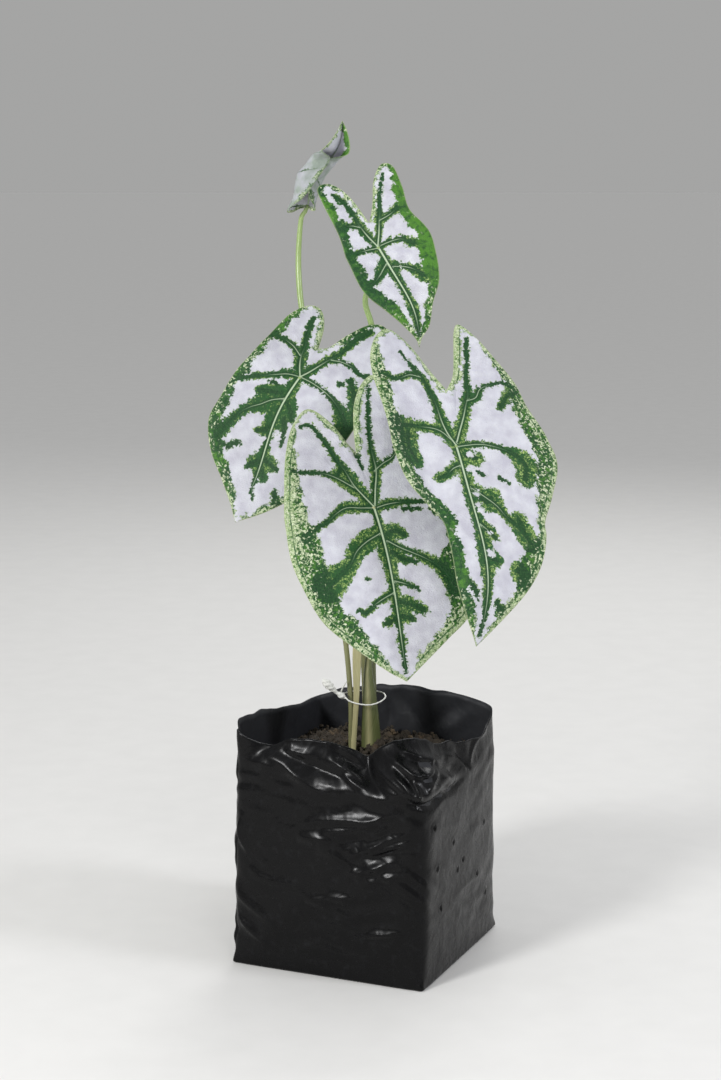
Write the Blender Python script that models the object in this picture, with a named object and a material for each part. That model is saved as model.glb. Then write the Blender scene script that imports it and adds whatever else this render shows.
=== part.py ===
"""Potted caladium: a square black film grow bag filled with soil, a tuber, five stalked leaves and a tie.

Lengths in the tables are millimetres and are turned to metres where a mesh is built.
Origin: centre of the bag's flat bottom. +Z up, the leaves face -Y.
"""
import bmesh
import bpy
import numpy as np

for old in list(bpy.data.objects):
    bpy.data.objects.remove(old, do_unlink=True)

MM = 0.001

# ---- driving dimensions (mm) ----
BAG_SIDE = 125.0        # side of the square bottom
BAG_TURN = -23.3        # degrees the bag is turned about +Z
BAG_BULGE = 2.0         # how far the filled side faces swell
BAG_WALL = 0.9          # film, drawn thicker than a real 0.1 mm film
SOIL_GAP = 0.6          # film to soil
SOIL_TOP = 121.0        # mean height of the soil surface
HOLE_HALF = (13.0, 11.5)     # half width and half depth of the stem hole in the soil
HOLE_AT = (-1.0, 2.5)
TUBER_HALF = (17.0, 15.0, 11.0)
TUBER_TOP = 109.0
BLADE_THICK = 0.8
STEM_GAP = 0.4          # petiole end to blade underside
TIE_WIRE = 0.6          # radius of the string

# rim of the bag: place round the perimeter (0 front left, 1 front right, 2 back right, 3 back left
# corner), lean inward, rim height, height where the lean starts
BAG_RIM = [
    (0.00, 0, 145, 125), (0.07, 1, 141, 125), (0.16, 7, 137, 128), (0.30, 5, 143, 122), (0.50, 7, 143, 118),
    (0.63, 11, 139, 116), (0.72, 16, 131, 114), (0.79, 14, 141, 114), (0.90, 15, 146, 112),
    (1.00, 17, 146, 111),
    (1.15, 14, 145, 112), (1.35, 9, 139, 112), (1.60, 3, 128, 115), (1.75, 1, 131, 120), (1.90, 0, 137, 120),
    (2.00, -1, 143, 120), (2.15, 2, 148, 120), (2.45, 1, 151, 120), (2.75, 2, 148, 120), (2.93, 3, 142, 120),
    (3.00, 1, 139, 120), (3.20, 3, 139, 120), (3.45, 4, 144, 120), (3.75, 2, 149, 120), (3.92, 0, 150, 120),
]

# each blade: petiole joint, facing (azimuth from -Y, tilt up, roll), length joint to tip, sideways bow and
# sway of the midrib, droop of the tip, droop of the lobes, fold along the midrib, cupping,
# margin wave (height, count, phase), gutter beside the midrib (place, depth, width), lean of the
# petiole's end from square to the blade, outline left (tip to sinus) and right (sinus to tip) as
# (across, along). The youngest blade is still rolled: for the half to the right and the half to the
# left, (flat width, arc length, turn, fold where it is open, where the roll ends along the blade, over
# what length it fades, climb of the flap)
BLADES = {
    "front": dict(
        joint=(3.5, -52.0, 282.9), face=(8, 33, 7), length=103, bow=2.0, sway=0.4,
        droop=14, lobe=5, keel=0.10, cup=4, wave=(1.3, 7, 0.4), gutter=(0, 0, 10), lean=-40,
        left=[(0, 103), (-12, 95), (-28, 80), (-43, 64), (-51, 46), (-55, 27), (-53, 5), (-49, -19),
              (-44, -40), (-36, -59), (-25, -68), (-14, -56), (-7, -42), (-3, -36)],
        right=[(-3, -36), (-1, -52), (3, -69), (11, -82), (20, -85), (30, -75), (38, -57), (44, -34),
               (48, -8), (50, 16), (50, 40), (47, 58), (40, 73), (27, 83), (12, 94), (0, 103)]),
    "right": dict(
        joint=(50.1, -62.0, 319.9), face=(22, 36, -4), length=114, bow=7.9, sway=-2.6,
        droop=26, lobe=8, keel=0.12, cup=3, wave=(1.2, 8, 1.1), gutter=(-22, 5, 9), lean=-40,
        left=[(0, 114), (-10, 99), (-17, 80), (-19, 60), (-20, 45), (-27, 35), (-35, 24), (-39, 8),
              (-40, -10), (-41, -30), (-42, -45), (-41, -60), (-35, -73), (-25, -79), (-13, -67),
              (-5, -49), (1, -36)],
        right=[(1, -36), (7, -46), (12, -63), (17, -82), (21, -85), (27, -76), (35, -60), (45, -42),
               (49, -24), (56, -3), (58, 14), (50, 32), (40, 48), (38, 57), (32, 73), (24, 86),
               (12, 100), (0, 114)]),
    "left": dict(
        joint=(-40.3, 20.0, 349.6), face=(-6, 32, -21), length=96, bow=-0.7, sway=-2.1,
        droop=14, lobe=5, keel=0.10, cup=4, wave=(1.2, 7, 2.0), gutter=(0, 0, 10), lean=-40,
        left=[(0, 96), (-8, 87), (-20, 75), (-32, 62), (-39, 45), (-37, 27), (-35, 6), (-30, -17), (-24, -36),
              (-15, -46), (-7, -46), (-1, -37), (2, -22)],
        right=[(2, -22), (8, -25), (16, -37), (25, -48), (34, -50), (42, -40), (46, -22), (47, 0), (46, 24),
               (41, 45), (33, 62), (22, 75), (11, 87), (0, 96)]),
    "upper": dict(
        joint=(6.2, 12.0, 427.7), face=(0, 26, 22), length=65, bow=4.6, sway=-1.3,
        droop=9, lobe=4, keel=0.16, cup=3, wave=(0.8, 7, 0.0), gutter=(0, 0, 10), lean=-40,
        left=[(0, 65), (-2, 60), (-9, 50), (-16, 38), (-22, 24), (-21, 4), (-19, -14), (-20, -36), (-19, -49),
              (-11, -50), (-4, -39), (1, -16)],
        right=[(1, -16), (7, -26), (14, -41), (22, -49), (28, -45), (28, -30), (26, -14), (31, 2), (28, 17),
               (21, 33), (12, 44), (7, 55), (2, 60), (0, 65)]),
    "top": dict(
        joint=(-36.0, 60.0, 450.3), face=(4, -4, 158), length=55, bow=-0.8, sway=3.0,
        droop=-4, lobe=0, keel=0.0, cup=0, wave=(0.5, 6, 0.7), gutter=(0, 0, 10), lean=72,
        roll=((5.5, 16, 176, 64, 38, 11, 0.30), (1.5, 10, 162, 48, 42, 12, 0.10)),
        left=[(0, 55), (-4, 51), (-8, 45), (-12, 37), (-16, 28), (-18, 17), (-17, 8), (-12, 2), (-5, -2),
              (0, -2)],
        right=[(0, -2), (4, -4), (8, -8), (13, -8), (20, -2), (26, 7), (29, 17), (28, 27), (21, 36), (13, 44),
               (5, 51), (0, 55)]),
}
BLADE_RINGS = (0.20, 0.40, 0.58, 0.74, 0.88, 1.0)
BLADE_ROUND = 50        # points round a blade's margin

# each petiole: (x, y, z, half width, half depth) from the tuber up; the end at the blade is added by code
PETIOLES = {
    "front": [(-8.5, -3.5, 109.4, 1.7, 1.6), (-8.2, -3.8, 128, 1.6, 1.5), (-6.6, -4.2, 155, 1.7, 1.3),
              (-6.1, -5.0, 184, 2.7, 1.3), (-5, -9, 205, 2.4, 1.4), (-1, -24, 246, 1.8, 1.6)],
    "right": [(2.4, -1, 109.4, 5.0, 3.8), (2.4, -1, 137, 5.2, 3.8), (1.7, -0.6, 155, 4.2, 3.2),
              (1.1, 0.5, 180, 2.2, 2.1), (8, 1, 212, 2.0, 2.0), (30, -6, 247, 1.9, 1.9),
              (52, -20, 272, 1.8, 1.8), (59, -35, 288, 1.7, 1.7)],
    "left": [(-9.0, 3.0, 109.4, 1.9, 1.9), (-9.6, 2.5, 130, 1.8, 1.8), (-10.0, 2, 155, 1.6, 1.6),
             (-13.3, 3, 193, 1.6, 1.6), (-22, 11, 250, 1.6, 1.6), (-36, 21, 305, 1.6, 1.6)],
    "top": [(-1, 7, 109.4, 2.1, 2.1), (-1, 7, 155, 2.0, 2.0), (-4, 10, 200, 1.9, 1.9),
            (-13, 21, 258, 1.9, 1.9), (-28, 40, 325, 1.8, 1.8), (-38.5, 52, 378, 1.8, 1.8),
            (-42, 61, 411, 1.8, 1.8)],
    "upper": [(4.2, 7, 109.4, 2.1, 2.1), (3.8, 7, 155, 2.0, 2.0), (3, 10, 215, 1.9, 1.9),
              (5, 20, 290, 1.9, 1.9), (5.5, 32, 345, 1.8, 1.8), (3, 38, 377, 1.8, 1.8),
              (-1, 35, 396, 1.7, 1.7)],
}
STEM_SIDES = 10

# string tie: free wide end, knot, round the stems and out again past the knot (x, y, z, radius)
TIE = [(-23.7, -4, 166.0, 0.5), (-21.8, -4, 164.0, 1.5), (-19.5, -3.6, 161.8, 1.9), (-17.4, -3.2, 160.0, 0.8),
       (-15.6, -3, 158.8, 1.3), (-14.3, -3, 158.0, 1.5), (-12.9, -3.6, 157.2, 0.8), (-10.5, -6.2, 156.0, 0.6),
       (-5.5, -8.1, 154.8, 0.6), (1.5, -8.3, 154.2, 0.6), (7.5, -6.0, 155.4, 0.6), (11.0, -1.0, 157.0, 0.6),
       (10.2, 5.0, 158.0, 0.6), (5.6, 9.7, 158.2, 0.6), (-1.0, 12.2, 158.0, 0.6), (-9.0, 10.2, 158.0, 0.6),
       (-13.6, 5.5, 158.0, 0.6), (-15.6, 0.6, 159.4, 0.6), (-15.0, -0.6, 162.0, 0.6),
       (-13.2, -1.8, 166.0, 0.5)]


# ---- shared helpers ----
def material(name, colour, rough):
    """A plain Principled material."""
    mat = bpy.data.materials.new(name)
    mat.use_nodes = True
    bsdf = mat.node_tree.nodes["Principled BSDF"]
    bsdf.inputs["Base Color"].default_value = (*colour, 1.0)
    bsdf.inputs["Roughness"].default_value = rough
    mat.diffuse_color = (*colour, 1.0)
    return mat


def add_object(name, points, faces, mat):
    """One closed mesh object from points in millimetres."""
    mesh = bpy.data.meshes.new(name)
    mesh.from_pydata([tuple(p) for p in np.asarray(points) * MM], [], [tuple(f) for f in faces])
    shell = bmesh.new()
    shell.from_mesh(mesh)
    bmesh.ops.recalc_face_normals(shell, faces=shell.faces[:])
    shell.to_mesh(mesh)
    shell.free()
    mesh.materials.append(mat)
    obj = bpy.data.objects.new(name, mesh)
    bpy.context.scene.collection.objects.link(obj)
    return obj


def curve(points, steps):
    """Catmull-Rom curve through the points, ends included."""
    p = np.asarray(points, float)
    p = np.vstack([2 * p[0] - p[1], p, 2 * p[-1] - p[-2]])
    t = np.linspace(0, 1, steps, endpoint=False)[:, None]
    parts = []
    for i in range(1, len(p) - 2):
        a, b, c, d = p[i - 1:i + 3]
        parts.append(0.5 * (2 * b + (c - a) * t + (2 * a - 5 * b + 4 * c - d) * t ** 2
                            + (3 * b - a - 3 * c + d) * t ** 3))
    return np.vstack(parts + [p[-2:-1]])


def even(points, count):
    """The same curve as count evenly spaced points."""
    run = np.r_[0, np.cumsum(np.linalg.norm(np.diff(points, axis=0), axis=1))]
    at = np.linspace(0, run[-1], count)
    return np.stack([np.interp(at, run, points[:, k]) for k in range(points.shape[1])], axis=1)


def closed_rows(rows, start, end):
    """Faces of stacked loops of equal length, closed by a point at each end."""
    n = len(rows[0])
    points = [start] + [p for row in rows for p in row] + [end]
    faces = []
    for i in range(n):
        j = (i + 1) % n
        faces.append((0, 1 + j, 1 + i))
        for r in range(len(rows) - 1):
            a, b = 1 + r * n, 1 + (r + 1) * n
            faces.append((a + i, a + j, b + j))
            faces.append((a + i, b + j, b + i))
        last = 1 + (len(rows) - 1) * n
        faces.append((last + i, last + j, len(points) - 1))
    return points, faces


# ---- blades ----
def blade_axes(spec):
    """Across, along and normal directions of a blade."""
    az, tilt, roll = np.radians(spec["face"])
    normal = np.array([np.sin(az) * np.cos(tilt), -np.cos(az) * np.cos(tilt), np.sin(tilt)])
    down = np.array([np.sin(az) * np.sin(tilt), -np.cos(az) * np.sin(tilt), -np.cos(tilt)])
    right = np.cross(normal, down)
    return (np.cos(roll) * right - np.sin(roll) * down, np.cos(roll) * down + np.sin(roll) * right, normal)


def blade_surface(spec, a, b, edge=0.0, run=0.0):
    """Mid surface point: a across, b along (tip positive), edge 0 to 1 to the margin, run 0 to 1 round it."""
    across, along, normal = blade_axes(spec)
    t = b / spec["length"]
    ahead, behind = np.clip(t, 0, 1), np.clip(-t, 0, None)
    at, deep, wide = spec["gutter"]
    height, count, phase = spec["wave"]
    rise = (-spec["droop"] * ahead ** 2 - spec["lobe"] * (behind / 0.7) ** 2
            + spec["keel"] * (np.sqrt(a * a + 36) - 6) - spec["cup"] * (a / 50) ** 2
            - deep * np.exp(-((a - at) / wide) ** 2) * np.clip((b + 40) / 40, 0, 1)
            + height * edge ** 3 * np.sin(2 * np.pi * count * run + phase))
    if "roll" in spec:
        a, b, curled = rolled(spec["roll"], a, b)
        rise = rise + curled
    side = a + spec["bow"] * 4 * ahead * (1 - ahead) + spec["sway"] * np.sin(2 * np.pi * ahead)
    return (np.array(spec["joint"]) + np.multiply.outer(side, across) + np.multiply.outer(b, along)
            + np.multiply.outer(rise, normal))


def rolled(halves, a, b):
    """Each half of a young blade still rolled forward: flat near the midrib, then an arc, then flat again."""
    new_a, new_b, rise = np.zeros_like(a), b + 0.0, np.zeros_like(a)
    for sign, (flat, arc, turn, fold, stop, fade, climb) in zip((1, -1), halves):
        part = np.clip((stop - b) / fade, 0, 1)
        part = part * part * (3 - 2 * part)
        way = np.clip(sign * a, 0, None)
        bend = np.radians(turn) * part
        open_fold = np.radians(fold) * (1 - part)
        on_arc = np.clip(way - flat, 0, arc)
        past = np.clip(way - flat - arc, 0, None)
        phi = bend * on_arc / arc + 1e-6
        out = np.minimum(way, flat) + on_arc * np.sin(phi) / phi + past * np.cos(bend)
        up = on_arc * (1 - np.cos(phi)) / phi + past * np.sin(bend)
        new_a += sign * (out * np.cos(open_fold) - up * np.sin(open_fold))
        rise += out * np.sin(open_fold) + up * np.cos(open_fold)
        new_b += climb * part * np.clip(way - flat - arc / 2, 0, None)
    return new_a, new_b, rise


def build_blade(name, spec, mat):
    """Thin closed blade: rings of the outline about the petiole joint, alike on both faces."""
    half = BLADE_ROUND // 2
    left = even(curve(spec["left"], 12), half + 1)[:-1]
    right = even(curve(spec["right"], 12), half + 1)[:-1]
    rim = np.vstack([left, right])
    run = np.arange(BLADE_ROUND) / BLADE_ROUND

    def point(a, b, f, s):
        return blade_surface(spec, a, b, f, s)

    centre = point(np.zeros(1), np.zeros(1), 0.0, 0.0)
    mids = [point(rim[:, 0] * f, rim[:, 1] * f, f, run) for f in BLADE_RINGS]
    normals = []
    for k, f in enumerate(BLADE_RINGS):
        inner = centre.repeat(BLADE_ROUND, 0) if k == 0 else mids[k - 1]
        outer = mids[min(k + 1, len(mids) - 1)]
        out = outer - inner
        around = np.roll(mids[k], -1, 0) - np.roll(mids[k], 1, 0)
        n = np.cross(around, out)
        n /= np.linalg.norm(n, axis=1)[:, None]
        normals.append(n)
    h = BLADE_THICK / 2
    top = [m + n * h for m, n in zip(mids, normals)]
    low = [m - n * h for m, n in zip(mids, normals)]
    axis = blade_axes(spec)[2]
    points = np.vstack([centre + axis * h, *top, *low[::-1], centre - axis * h])
    # the same diagonal on the under face as on the upper face
    n, rings = BLADE_ROUND, len(BLADE_RINGS)
    faces = []
    for i in range(n):
        j = (i + 1) % n
        faces.append((0, 1 + i, 1 + j))
        faces.append((len(points) - 1, 1 + (2 * rings - 1) * n + j, 1 + (2 * rings - 1) * n + i))
        for r in range(rings - 1):
            a, b = 1 + r * n, 1 + (r + 1) * n
            faces += [(a + i, b + i, b + j), (a + i, b + j, a + j)]
            a, b = 1 + (2 * rings - 1 - r) * n, 1 + (2 * rings - 2 - r) * n
            faces += [(a + i, b + j, b + i), (a + i, a + j, b + j)]
        a, b = 1 + (rings - 1) * n, 1 + rings * n
        faces += [(a + i, b + i, b + j), (a + i, b + j, a + j)]
    return add_object(name, points, faces, mat)


# ---- petioles ----
def tube(name, path, mat, sides=STEM_SIDES, steps=3, end_axis=None):
    """Closed tube along (x, y, z, half width, half depth) with flat ends."""
    line = curve(path, steps)
    mid = line[:, :3]
    tangent = np.gradient(mid, axis=0)
    if end_axis is not None:
        tangent[0] = (0, 0, 1)
        tangent[-1] = end_axis
    tangent /= np.linalg.norm(tangent, axis=1)[:, None]
    side = np.zeros_like(mid)
    side[0] = np.cross((0.0, 1.0, 0.0), tangent[0])
    for k in range(1, len(mid)):
        side[k] = side[k - 1] - tangent[k] * (side[k - 1] @ tangent[k])
    side[0] -= tangent[0] * (side[0] @ tangent[0])
    side /= np.linalg.norm(side, axis=1)[:, None]
    deep = np.cross(tangent, side)
    angle = np.arange(sides) * 2 * np.pi / sides
    rows = [mid[k] + np.outer(np.cos(angle) * line[k, 3], side[k])
            + np.outer(np.sin(angle) * line[k, 4], deep[k]) for k in range(len(mid))]
    points, faces = closed_rows(rows, tuple(mid[0]), tuple(mid[-1]))
    return add_object(name, points, faces, mat)


def build_petiole(name, key, mat):
    """Stalk from the tuber to just under the blade joint, ending square to the blade."""
    spec = BLADES[key]
    joint = blade_surface(spec, np.zeros(1), np.zeros(1))[0]
    _, along, normal = blade_axes(spec)
    lean = np.radians(spec["lean"])
    axis = normal * np.cos(lean) + along * np.sin(lean)
    stop = joint - normal * (BLADE_THICK / 2 + STEM_GAP + 1.4 * abs(np.sin(lean)))
    end = [(*(stop - axis * d), r, r) for d, r in ((12, 1.5), (5, 1.4), (0, 1.4))]
    return tube(name, PETIOLES[key] + end, mat, end_axis=axis)


# ---- bag and soil ----
BAG_ROUND = 60
BAG_LEVELS = (0.0, 0.025, 0.25, 0.5, 0.68, 0.76, 0.82, 0.88, 0.94, 1.0)


def bag_place(count=BAG_ROUND):
    """Perimeter places 0 to 4 and their directions in the bag's own frame."""
    s = np.arange(count) * 4.0 / count
    face, t = np.floor(s).astype(int), (s % 1.0) * 2 - 1
    one = np.ones_like(t)
    x = np.choose(face, [t, one, -t, -one])
    y = np.choose(face, [-one, t, one, -t])
    return s, np.stack([x, y], 1), t


def bag_ring(level, inward):
    """One loop of the bag at a share of the rim height, moved inward by a distance."""
    s, way, t = bag_place()
    table = np.array(BAG_RIM + [(4.0, *BAG_RIM[0][1:])], float)
    lean, rim, start = (np.interp(s, table[:, 0], table[:, k]) for k in (1, 2, 3))
    z = rim * level
    leaning = lean * np.clip((z - start) / (rim - start), 0, 1)
    half = BAG_SIDE / 2 + BAG_BULGE * (1 - t * t) * np.sin(np.pi * np.clip(z / 120, 0, 1))
    half = half - leaning - inward - (1.0 if level == 0 else 0.0)
    sharp = 24 - 8 * level
    size = half / (np.abs(way[:, 0]) ** sharp + np.abs(way[:, 1]) ** sharp) ** (1 / sharp)
    turn = np.radians(BAG_TURN)
    x, y = (way * size[:, None]).T
    return np.stack([x * np.cos(turn) - y * np.sin(turn), x * np.sin(turn) + y * np.cos(turn), z], 1)


def build_bag(mat):
    """Open film bag with a flat bottom, a leaning wavy rim and an even wall."""
    outer = [bag_ring(v, 0.0) for v in BAG_LEVELS]
    inner = [bag_ring(v, BAG_WALL) for v in BAG_LEVELS[::-1]]
    inner[-1][:, 2] = BAG_WALL
    inner[-2][:, 2] += BAG_WALL * 0.5
    points, faces = closed_rows(outer + inner, (0, 0, 0), (0, 0, BAG_WALL))
    return add_object("grow_bag", points, faces, mat)


def soil_height(x, y):
    """Crumbly soil surface: slow lumps, a low mound round the stems."""
    lumps = (1.6 * np.sin(x / 9.0 + 1.0) * np.cos(y / 11.0) + 1.2 * np.sin(x / 5.0 - y / 7.0)
             + 1.0 * np.cos(y / 4.6 + x / 13.0))
    mound = 3.0 * np.exp(-((x - HOLE_AT[0]) ** 2 + (y - HOLE_AT[1]) ** 2) / 26.0 ** 2)
    return SOIL_TOP + lumps + mound


def build_soil(mat):
    """Soil filling the bag, with a well for the stems that opens to the tuber's hollow."""
    inward = BAG_WALL + SOIL_GAP
    loops = [bag_ring(v, inward) for v in BAG_LEVELS]
    loops[0][:, 2] = inward
    loops[1][:, 2] += BAG_WALL
    edge_z = soil_height(loops[4][:, 0], loops[4][:, 1]) - 1.5
    rows = [loops[k] for k in range(len(loops)) if loops[k][:, 2].max() < edge_z.min() - 2]
    stack = np.array(loops)
    edge = np.array([[np.interp(edge_z[i], stack[:, i, 2], stack[:, i, k]) for k in range(2)] + [edge_z[i]]
                     for i in range(BAG_ROUND)])
    rows.append(edge)
    angle = np.arctan2(edge[:, 1] - HOLE_AT[1], edge[:, 0] - HOLE_AT[0])
    hole = np.stack([HOLE_AT[0] + HOLE_HALF[0] * np.cos(angle), HOLE_AT[1] + HOLE_HALF[1] * np.sin(angle)], 1)
    for f in (0.88, 0.74, 0.6, 0.45, 0.3, 0.15, 0.0):
        xy = hole + (edge[:, :2] - hole) * f
        rows.append(np.column_stack([xy, soil_height(xy[:, 0], xy[:, 1])]))
    gap = 0.5
    ring = np.stack([np.cos(angle), np.sin(angle)], 1)
    middle = TUBER_TOP - TUBER_HALF[2]
    rows.append(np.column_stack([hole, np.full(BAG_ROUND, TUBER_TOP + 1.0)]))
    for k in (0.45, 0.0, -0.45, -0.85):
        wide = np.sqrt(1 - k * k)
        xy = np.array(HOLE_AT) + ring * (np.array(TUBER_HALF[:2]) + gap) * wide
        rows.append(np.column_stack([xy, np.full(BAG_ROUND, middle + k * (TUBER_HALF[2] + gap))]))
    points, faces = closed_rows(rows, (0, 0, inward), (*HOLE_AT, middle - TUBER_HALF[2] - gap))
    return add_object("soil", points, faces, mat)


def build_tuber(mat):
    """Flattened tuber with a level crown that the stalks stand on."""
    count = 20
    angle = np.arange(count) * 2 * np.pi / count
    middle = TUBER_TOP - TUBER_HALF[2]
    rows = []
    for k in (-0.9, -0.5, 0.0, 0.5, 0.72):
        wide = np.sqrt(1 - k * k)
        rows.append(np.column_stack([HOLE_AT[0] + TUBER_HALF[0] * wide * np.cos(angle),
                                     HOLE_AT[1] + TUBER_HALF[1] * wide * np.sin(angle),
                                     np.full(count, middle + k * TUBER_HALF[2])]))
    rows.append(np.column_stack([HOLE_AT[0] + 11.5 * np.cos(angle), HOLE_AT[1] + 10.5 * np.sin(angle),
                                 np.full(count, TUBER_TOP)]))
    points, faces = closed_rows(rows, (*HOLE_AT, middle - TUBER_HALF[2]), (*HOLE_AT, TUBER_TOP))
    return add_object("tuber", points, faces, mat)


# ---- assembly ----
def main():
    film = material("black_film", (0.012, 0.012, 0.014), 0.25)
    earth = material("soil_mix", (0.055, 0.038, 0.026), 0.95)
    corm = material("tuber_skin", (0.16, 0.10, 0.06), 0.8)
    stalk = material("petiole_flesh", (0.20, 0.30, 0.11), 0.45)
    leaf = material("variegated_leaf", (0.42, 0.52, 0.36), 0.45)
    string = material("white_string", (0.75, 0.75, 0.73), 0.5)
    build_bag(film)
    build_soil(earth)
    build_tuber(corm)
    for key, spec in BLADES.items():
        build_petiole("petiole_" + key, key, stalk)
        build_blade("blade_" + key, spec, leaf)
    tube("stem_tie", [(x, y, z, r, r) for x, y, z, r in TIE], string, sides=6, steps=2)


main()
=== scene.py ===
# %% [markdown]
# # A caladium in its grow bag
# One tuber in a square black film bag sends up five stalks, and each stalk carries a heart-shaped
# blade painted in white and green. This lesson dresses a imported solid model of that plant: the
# solids give every place and size, and each cell below works out one finer surface for one of them.
# All lengths are in millimetres, in the solid model's own frame: the origin is the centre of the
# bag's flat bottom, +Z is up and the leaves face -Y.

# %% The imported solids
import bpy
import numpy as np
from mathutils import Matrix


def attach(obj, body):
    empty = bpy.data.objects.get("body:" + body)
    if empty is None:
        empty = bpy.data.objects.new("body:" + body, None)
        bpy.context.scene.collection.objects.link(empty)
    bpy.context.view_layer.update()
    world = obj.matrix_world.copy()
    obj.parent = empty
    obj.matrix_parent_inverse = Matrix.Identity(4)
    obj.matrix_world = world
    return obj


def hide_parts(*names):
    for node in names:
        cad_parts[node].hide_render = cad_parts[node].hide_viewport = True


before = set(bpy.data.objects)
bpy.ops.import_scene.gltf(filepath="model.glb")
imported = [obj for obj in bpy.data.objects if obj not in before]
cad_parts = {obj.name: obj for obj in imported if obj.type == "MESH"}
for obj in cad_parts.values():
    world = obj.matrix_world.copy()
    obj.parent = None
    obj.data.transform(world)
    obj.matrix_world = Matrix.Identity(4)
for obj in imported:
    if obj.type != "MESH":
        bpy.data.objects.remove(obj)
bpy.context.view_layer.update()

MM = 0.001

# %% [markdown]
# ## Colour and node helpers
# A leaf or a film is described by a colour that a person can read off a chart, so colours are given
# as sRGB hex and one function turns them to the linear values that the renderer mixes. One small
# function adds a shader node; it sets plain values on the node's own sockets and links the rest.

# %% Helpers for finishes
def linear(code):
    """sRGB hex to linear: s / 12.92 up to 0.04045, above it ((s + 0.055) / 1.055) to the power 2.4."""
    s = np.array([int(code[k:k + 2], 16) for k in (1, 3, 5)]) / 255
    return (*np.where(s <= 0.04045, s / 12.92, ((s + 0.055) / 1.055) ** 2.4), 1.0)


def plug(finish, shader, values):
    """Sets each value on the shader's socket of that name; a value that is a socket is linked."""
    for key, value in values.items():
        if isinstance(value, bpy.types.NodeSocket):
            finish.node_tree.links.new(value, shader.inputs[key])
        else:
            shader.inputs[key].default_value = value


def add(finish, kind, values, pick=0, **settings):
    """Adds one node with its settings and links, and gives the picked output."""
    made = finish.node_tree.nodes.new("ShaderNode" + kind)
    for key, value in settings.items():
        setattr(made, key, value)
    plug(finish, made, values)
    return made.outputs[pick]


def new_finish(name):
    """A finish that holds only its main shader, and that shader."""
    finish = bpy.data.materials.new(name)
    finish.use_nodes = True
    return finish, finish.node_tree.nodes["Principled BSDF"]


print("middle grey #808080 in linear light:", round(float(linear("#808080")[0]), 3))

# %% [markdown]
# ## From a grid to a closed piece
# Every new piece is a stack of loops: the rings of a blade, the rounds of a stalk, the levels of
# the bag. Two single points close the ends. Working with whole arrays keeps this quick, and the
# signed volume tells whether the faces point outwards, so no piece is left inside out.

# %% Faces of a grid
def closed_grid(count, around):
    """Faces over count points: a pole, loops of `around` points, a pole. Quads join the loops, and fans of
    triangles join the first and the last loop to their poles."""
    loops = (count - 2) // around
    i = np.arange(around)
    j = (i + 1) % around
    base = np.arange(loops - 1)[:, None] * around + 1
    quads = np.stack([base + i, base + j, base + around + j, base + around + i], -1).reshape(-1, 4)
    last = 1 + (loops - 1) * around
    first_fan = np.stack([0 * i, 1 + j, 1 + i], 1)
    last_fan = np.stack([last + i, last + j, 0 * i + count - 1], 1)
    return quads, np.vstack([first_fan, last_fan])


def outward(points, quads, fans):
    """The faces, all turned over if they point inwards. The signed volume is one sixth of the sum of
    p . (q x r) over the triangles, and it is positive when the faces point out."""
    tris = np.vstack([quads[:, :3], quads[:, [0, 2, 3]], fans])
    p, q, r = (points[tris[:, k]] for k in range(3))
    if (p * np.cross(q, r)).sum() < 0:
        return quads[:, ::-1], fans[:, ::-1]
    return quads, fans


print("three loops of 8 points and two poles, quads and fans:", [len(part) for part in closed_grid(26, 8)])


# %% Grids to meshes
def placed(name, data):
    """A new object of the scene that holds the data."""
    made = bpy.data.objects.new(name, data)
    bpy.context.scene.collection.objects.link(made)
    return made


def piece(name, points, quads, fans, finish, slot, stands_for, fields=None):
    """One smooth closed mesh from arrays in mm, riding on the root body in place of its solid."""
    quads, fans = outward(points, quads, fans)
    mesh = bpy.data.meshes.new(name)
    corners = np.concatenate([quads.ravel(), fans.ravel()])
    starts = np.concatenate([np.arange(len(quads)) * 4, len(quads) * 4 + np.arange(len(fans)) * 3])
    mesh.vertices.add(len(points))
    mesh.vertices.foreach_set("co", np.ascontiguousarray(points * MM, dtype=np.float32).ravel())
    mesh.loops.add(len(corners))
    mesh.loops.foreach_set("vertex_index", corners.astype(np.int32))
    mesh.polygons.add(len(starts))
    mesh.polygons.foreach_set("loop_start", starts.astype(np.int32))
    mesh.update(calc_edges=True)
    for key, values in (fields or {}).items():
        layer = mesh.attributes.new(key, "FLOAT_VECTOR", "POINT")
        layer.data.foreach_set("vector", np.ascontiguousarray(values, dtype=np.float32).ravel())
    mesh.shade_smooth()
    mesh.materials.append(finish)
    made = placed(name, mesh)
    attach(made, "root")
    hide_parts(stands_for)
    print(name, "triangles:", 2 * len(quads) + len(fans))


# %% [markdown]
# ## Curves and distances
# Veins, folds, stalks and string are all given as a few points. A Catmull-Rom curve joins them
# smoothly and passes through each one. What a point of a surface needs to know about a path is how
# far away it is and where along the path its nearest place lies.

# %% Curves and distances
def curve(points, steps):
    """Catmull-Rom curve: between b and c it is half of 2b + (c-a)t + (2a-5b+4c-d)t^2 + (3b-a-3c+d)t^3."""
    p = np.asarray(points, float)
    p = np.vstack([2 * p[0] - p[1], p, 2 * p[-1] - p[-2]])
    a, b, c, d = p[:-3, None], p[1:-2, None], p[2:-1, None], p[3:, None]
    t = np.linspace(0, 1, steps, endpoint=False)[None, :, None]
    square, cube = 2 * a - 5 * b + 4 * c - d, 3 * b - a - 3 * c + d
    runs = 0.5 * (2 * b + (c - a) * t + square * t ** 2 + cube * t ** 3)
    return np.vstack([runs.reshape(-1, p.shape[1]), p[-2:-1]])


def run_along(points):
    """Length along the curve from its start to each point."""
    return np.r_[0, np.cumsum(np.linalg.norm(np.diff(points, axis=0), axis=1))]


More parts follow.
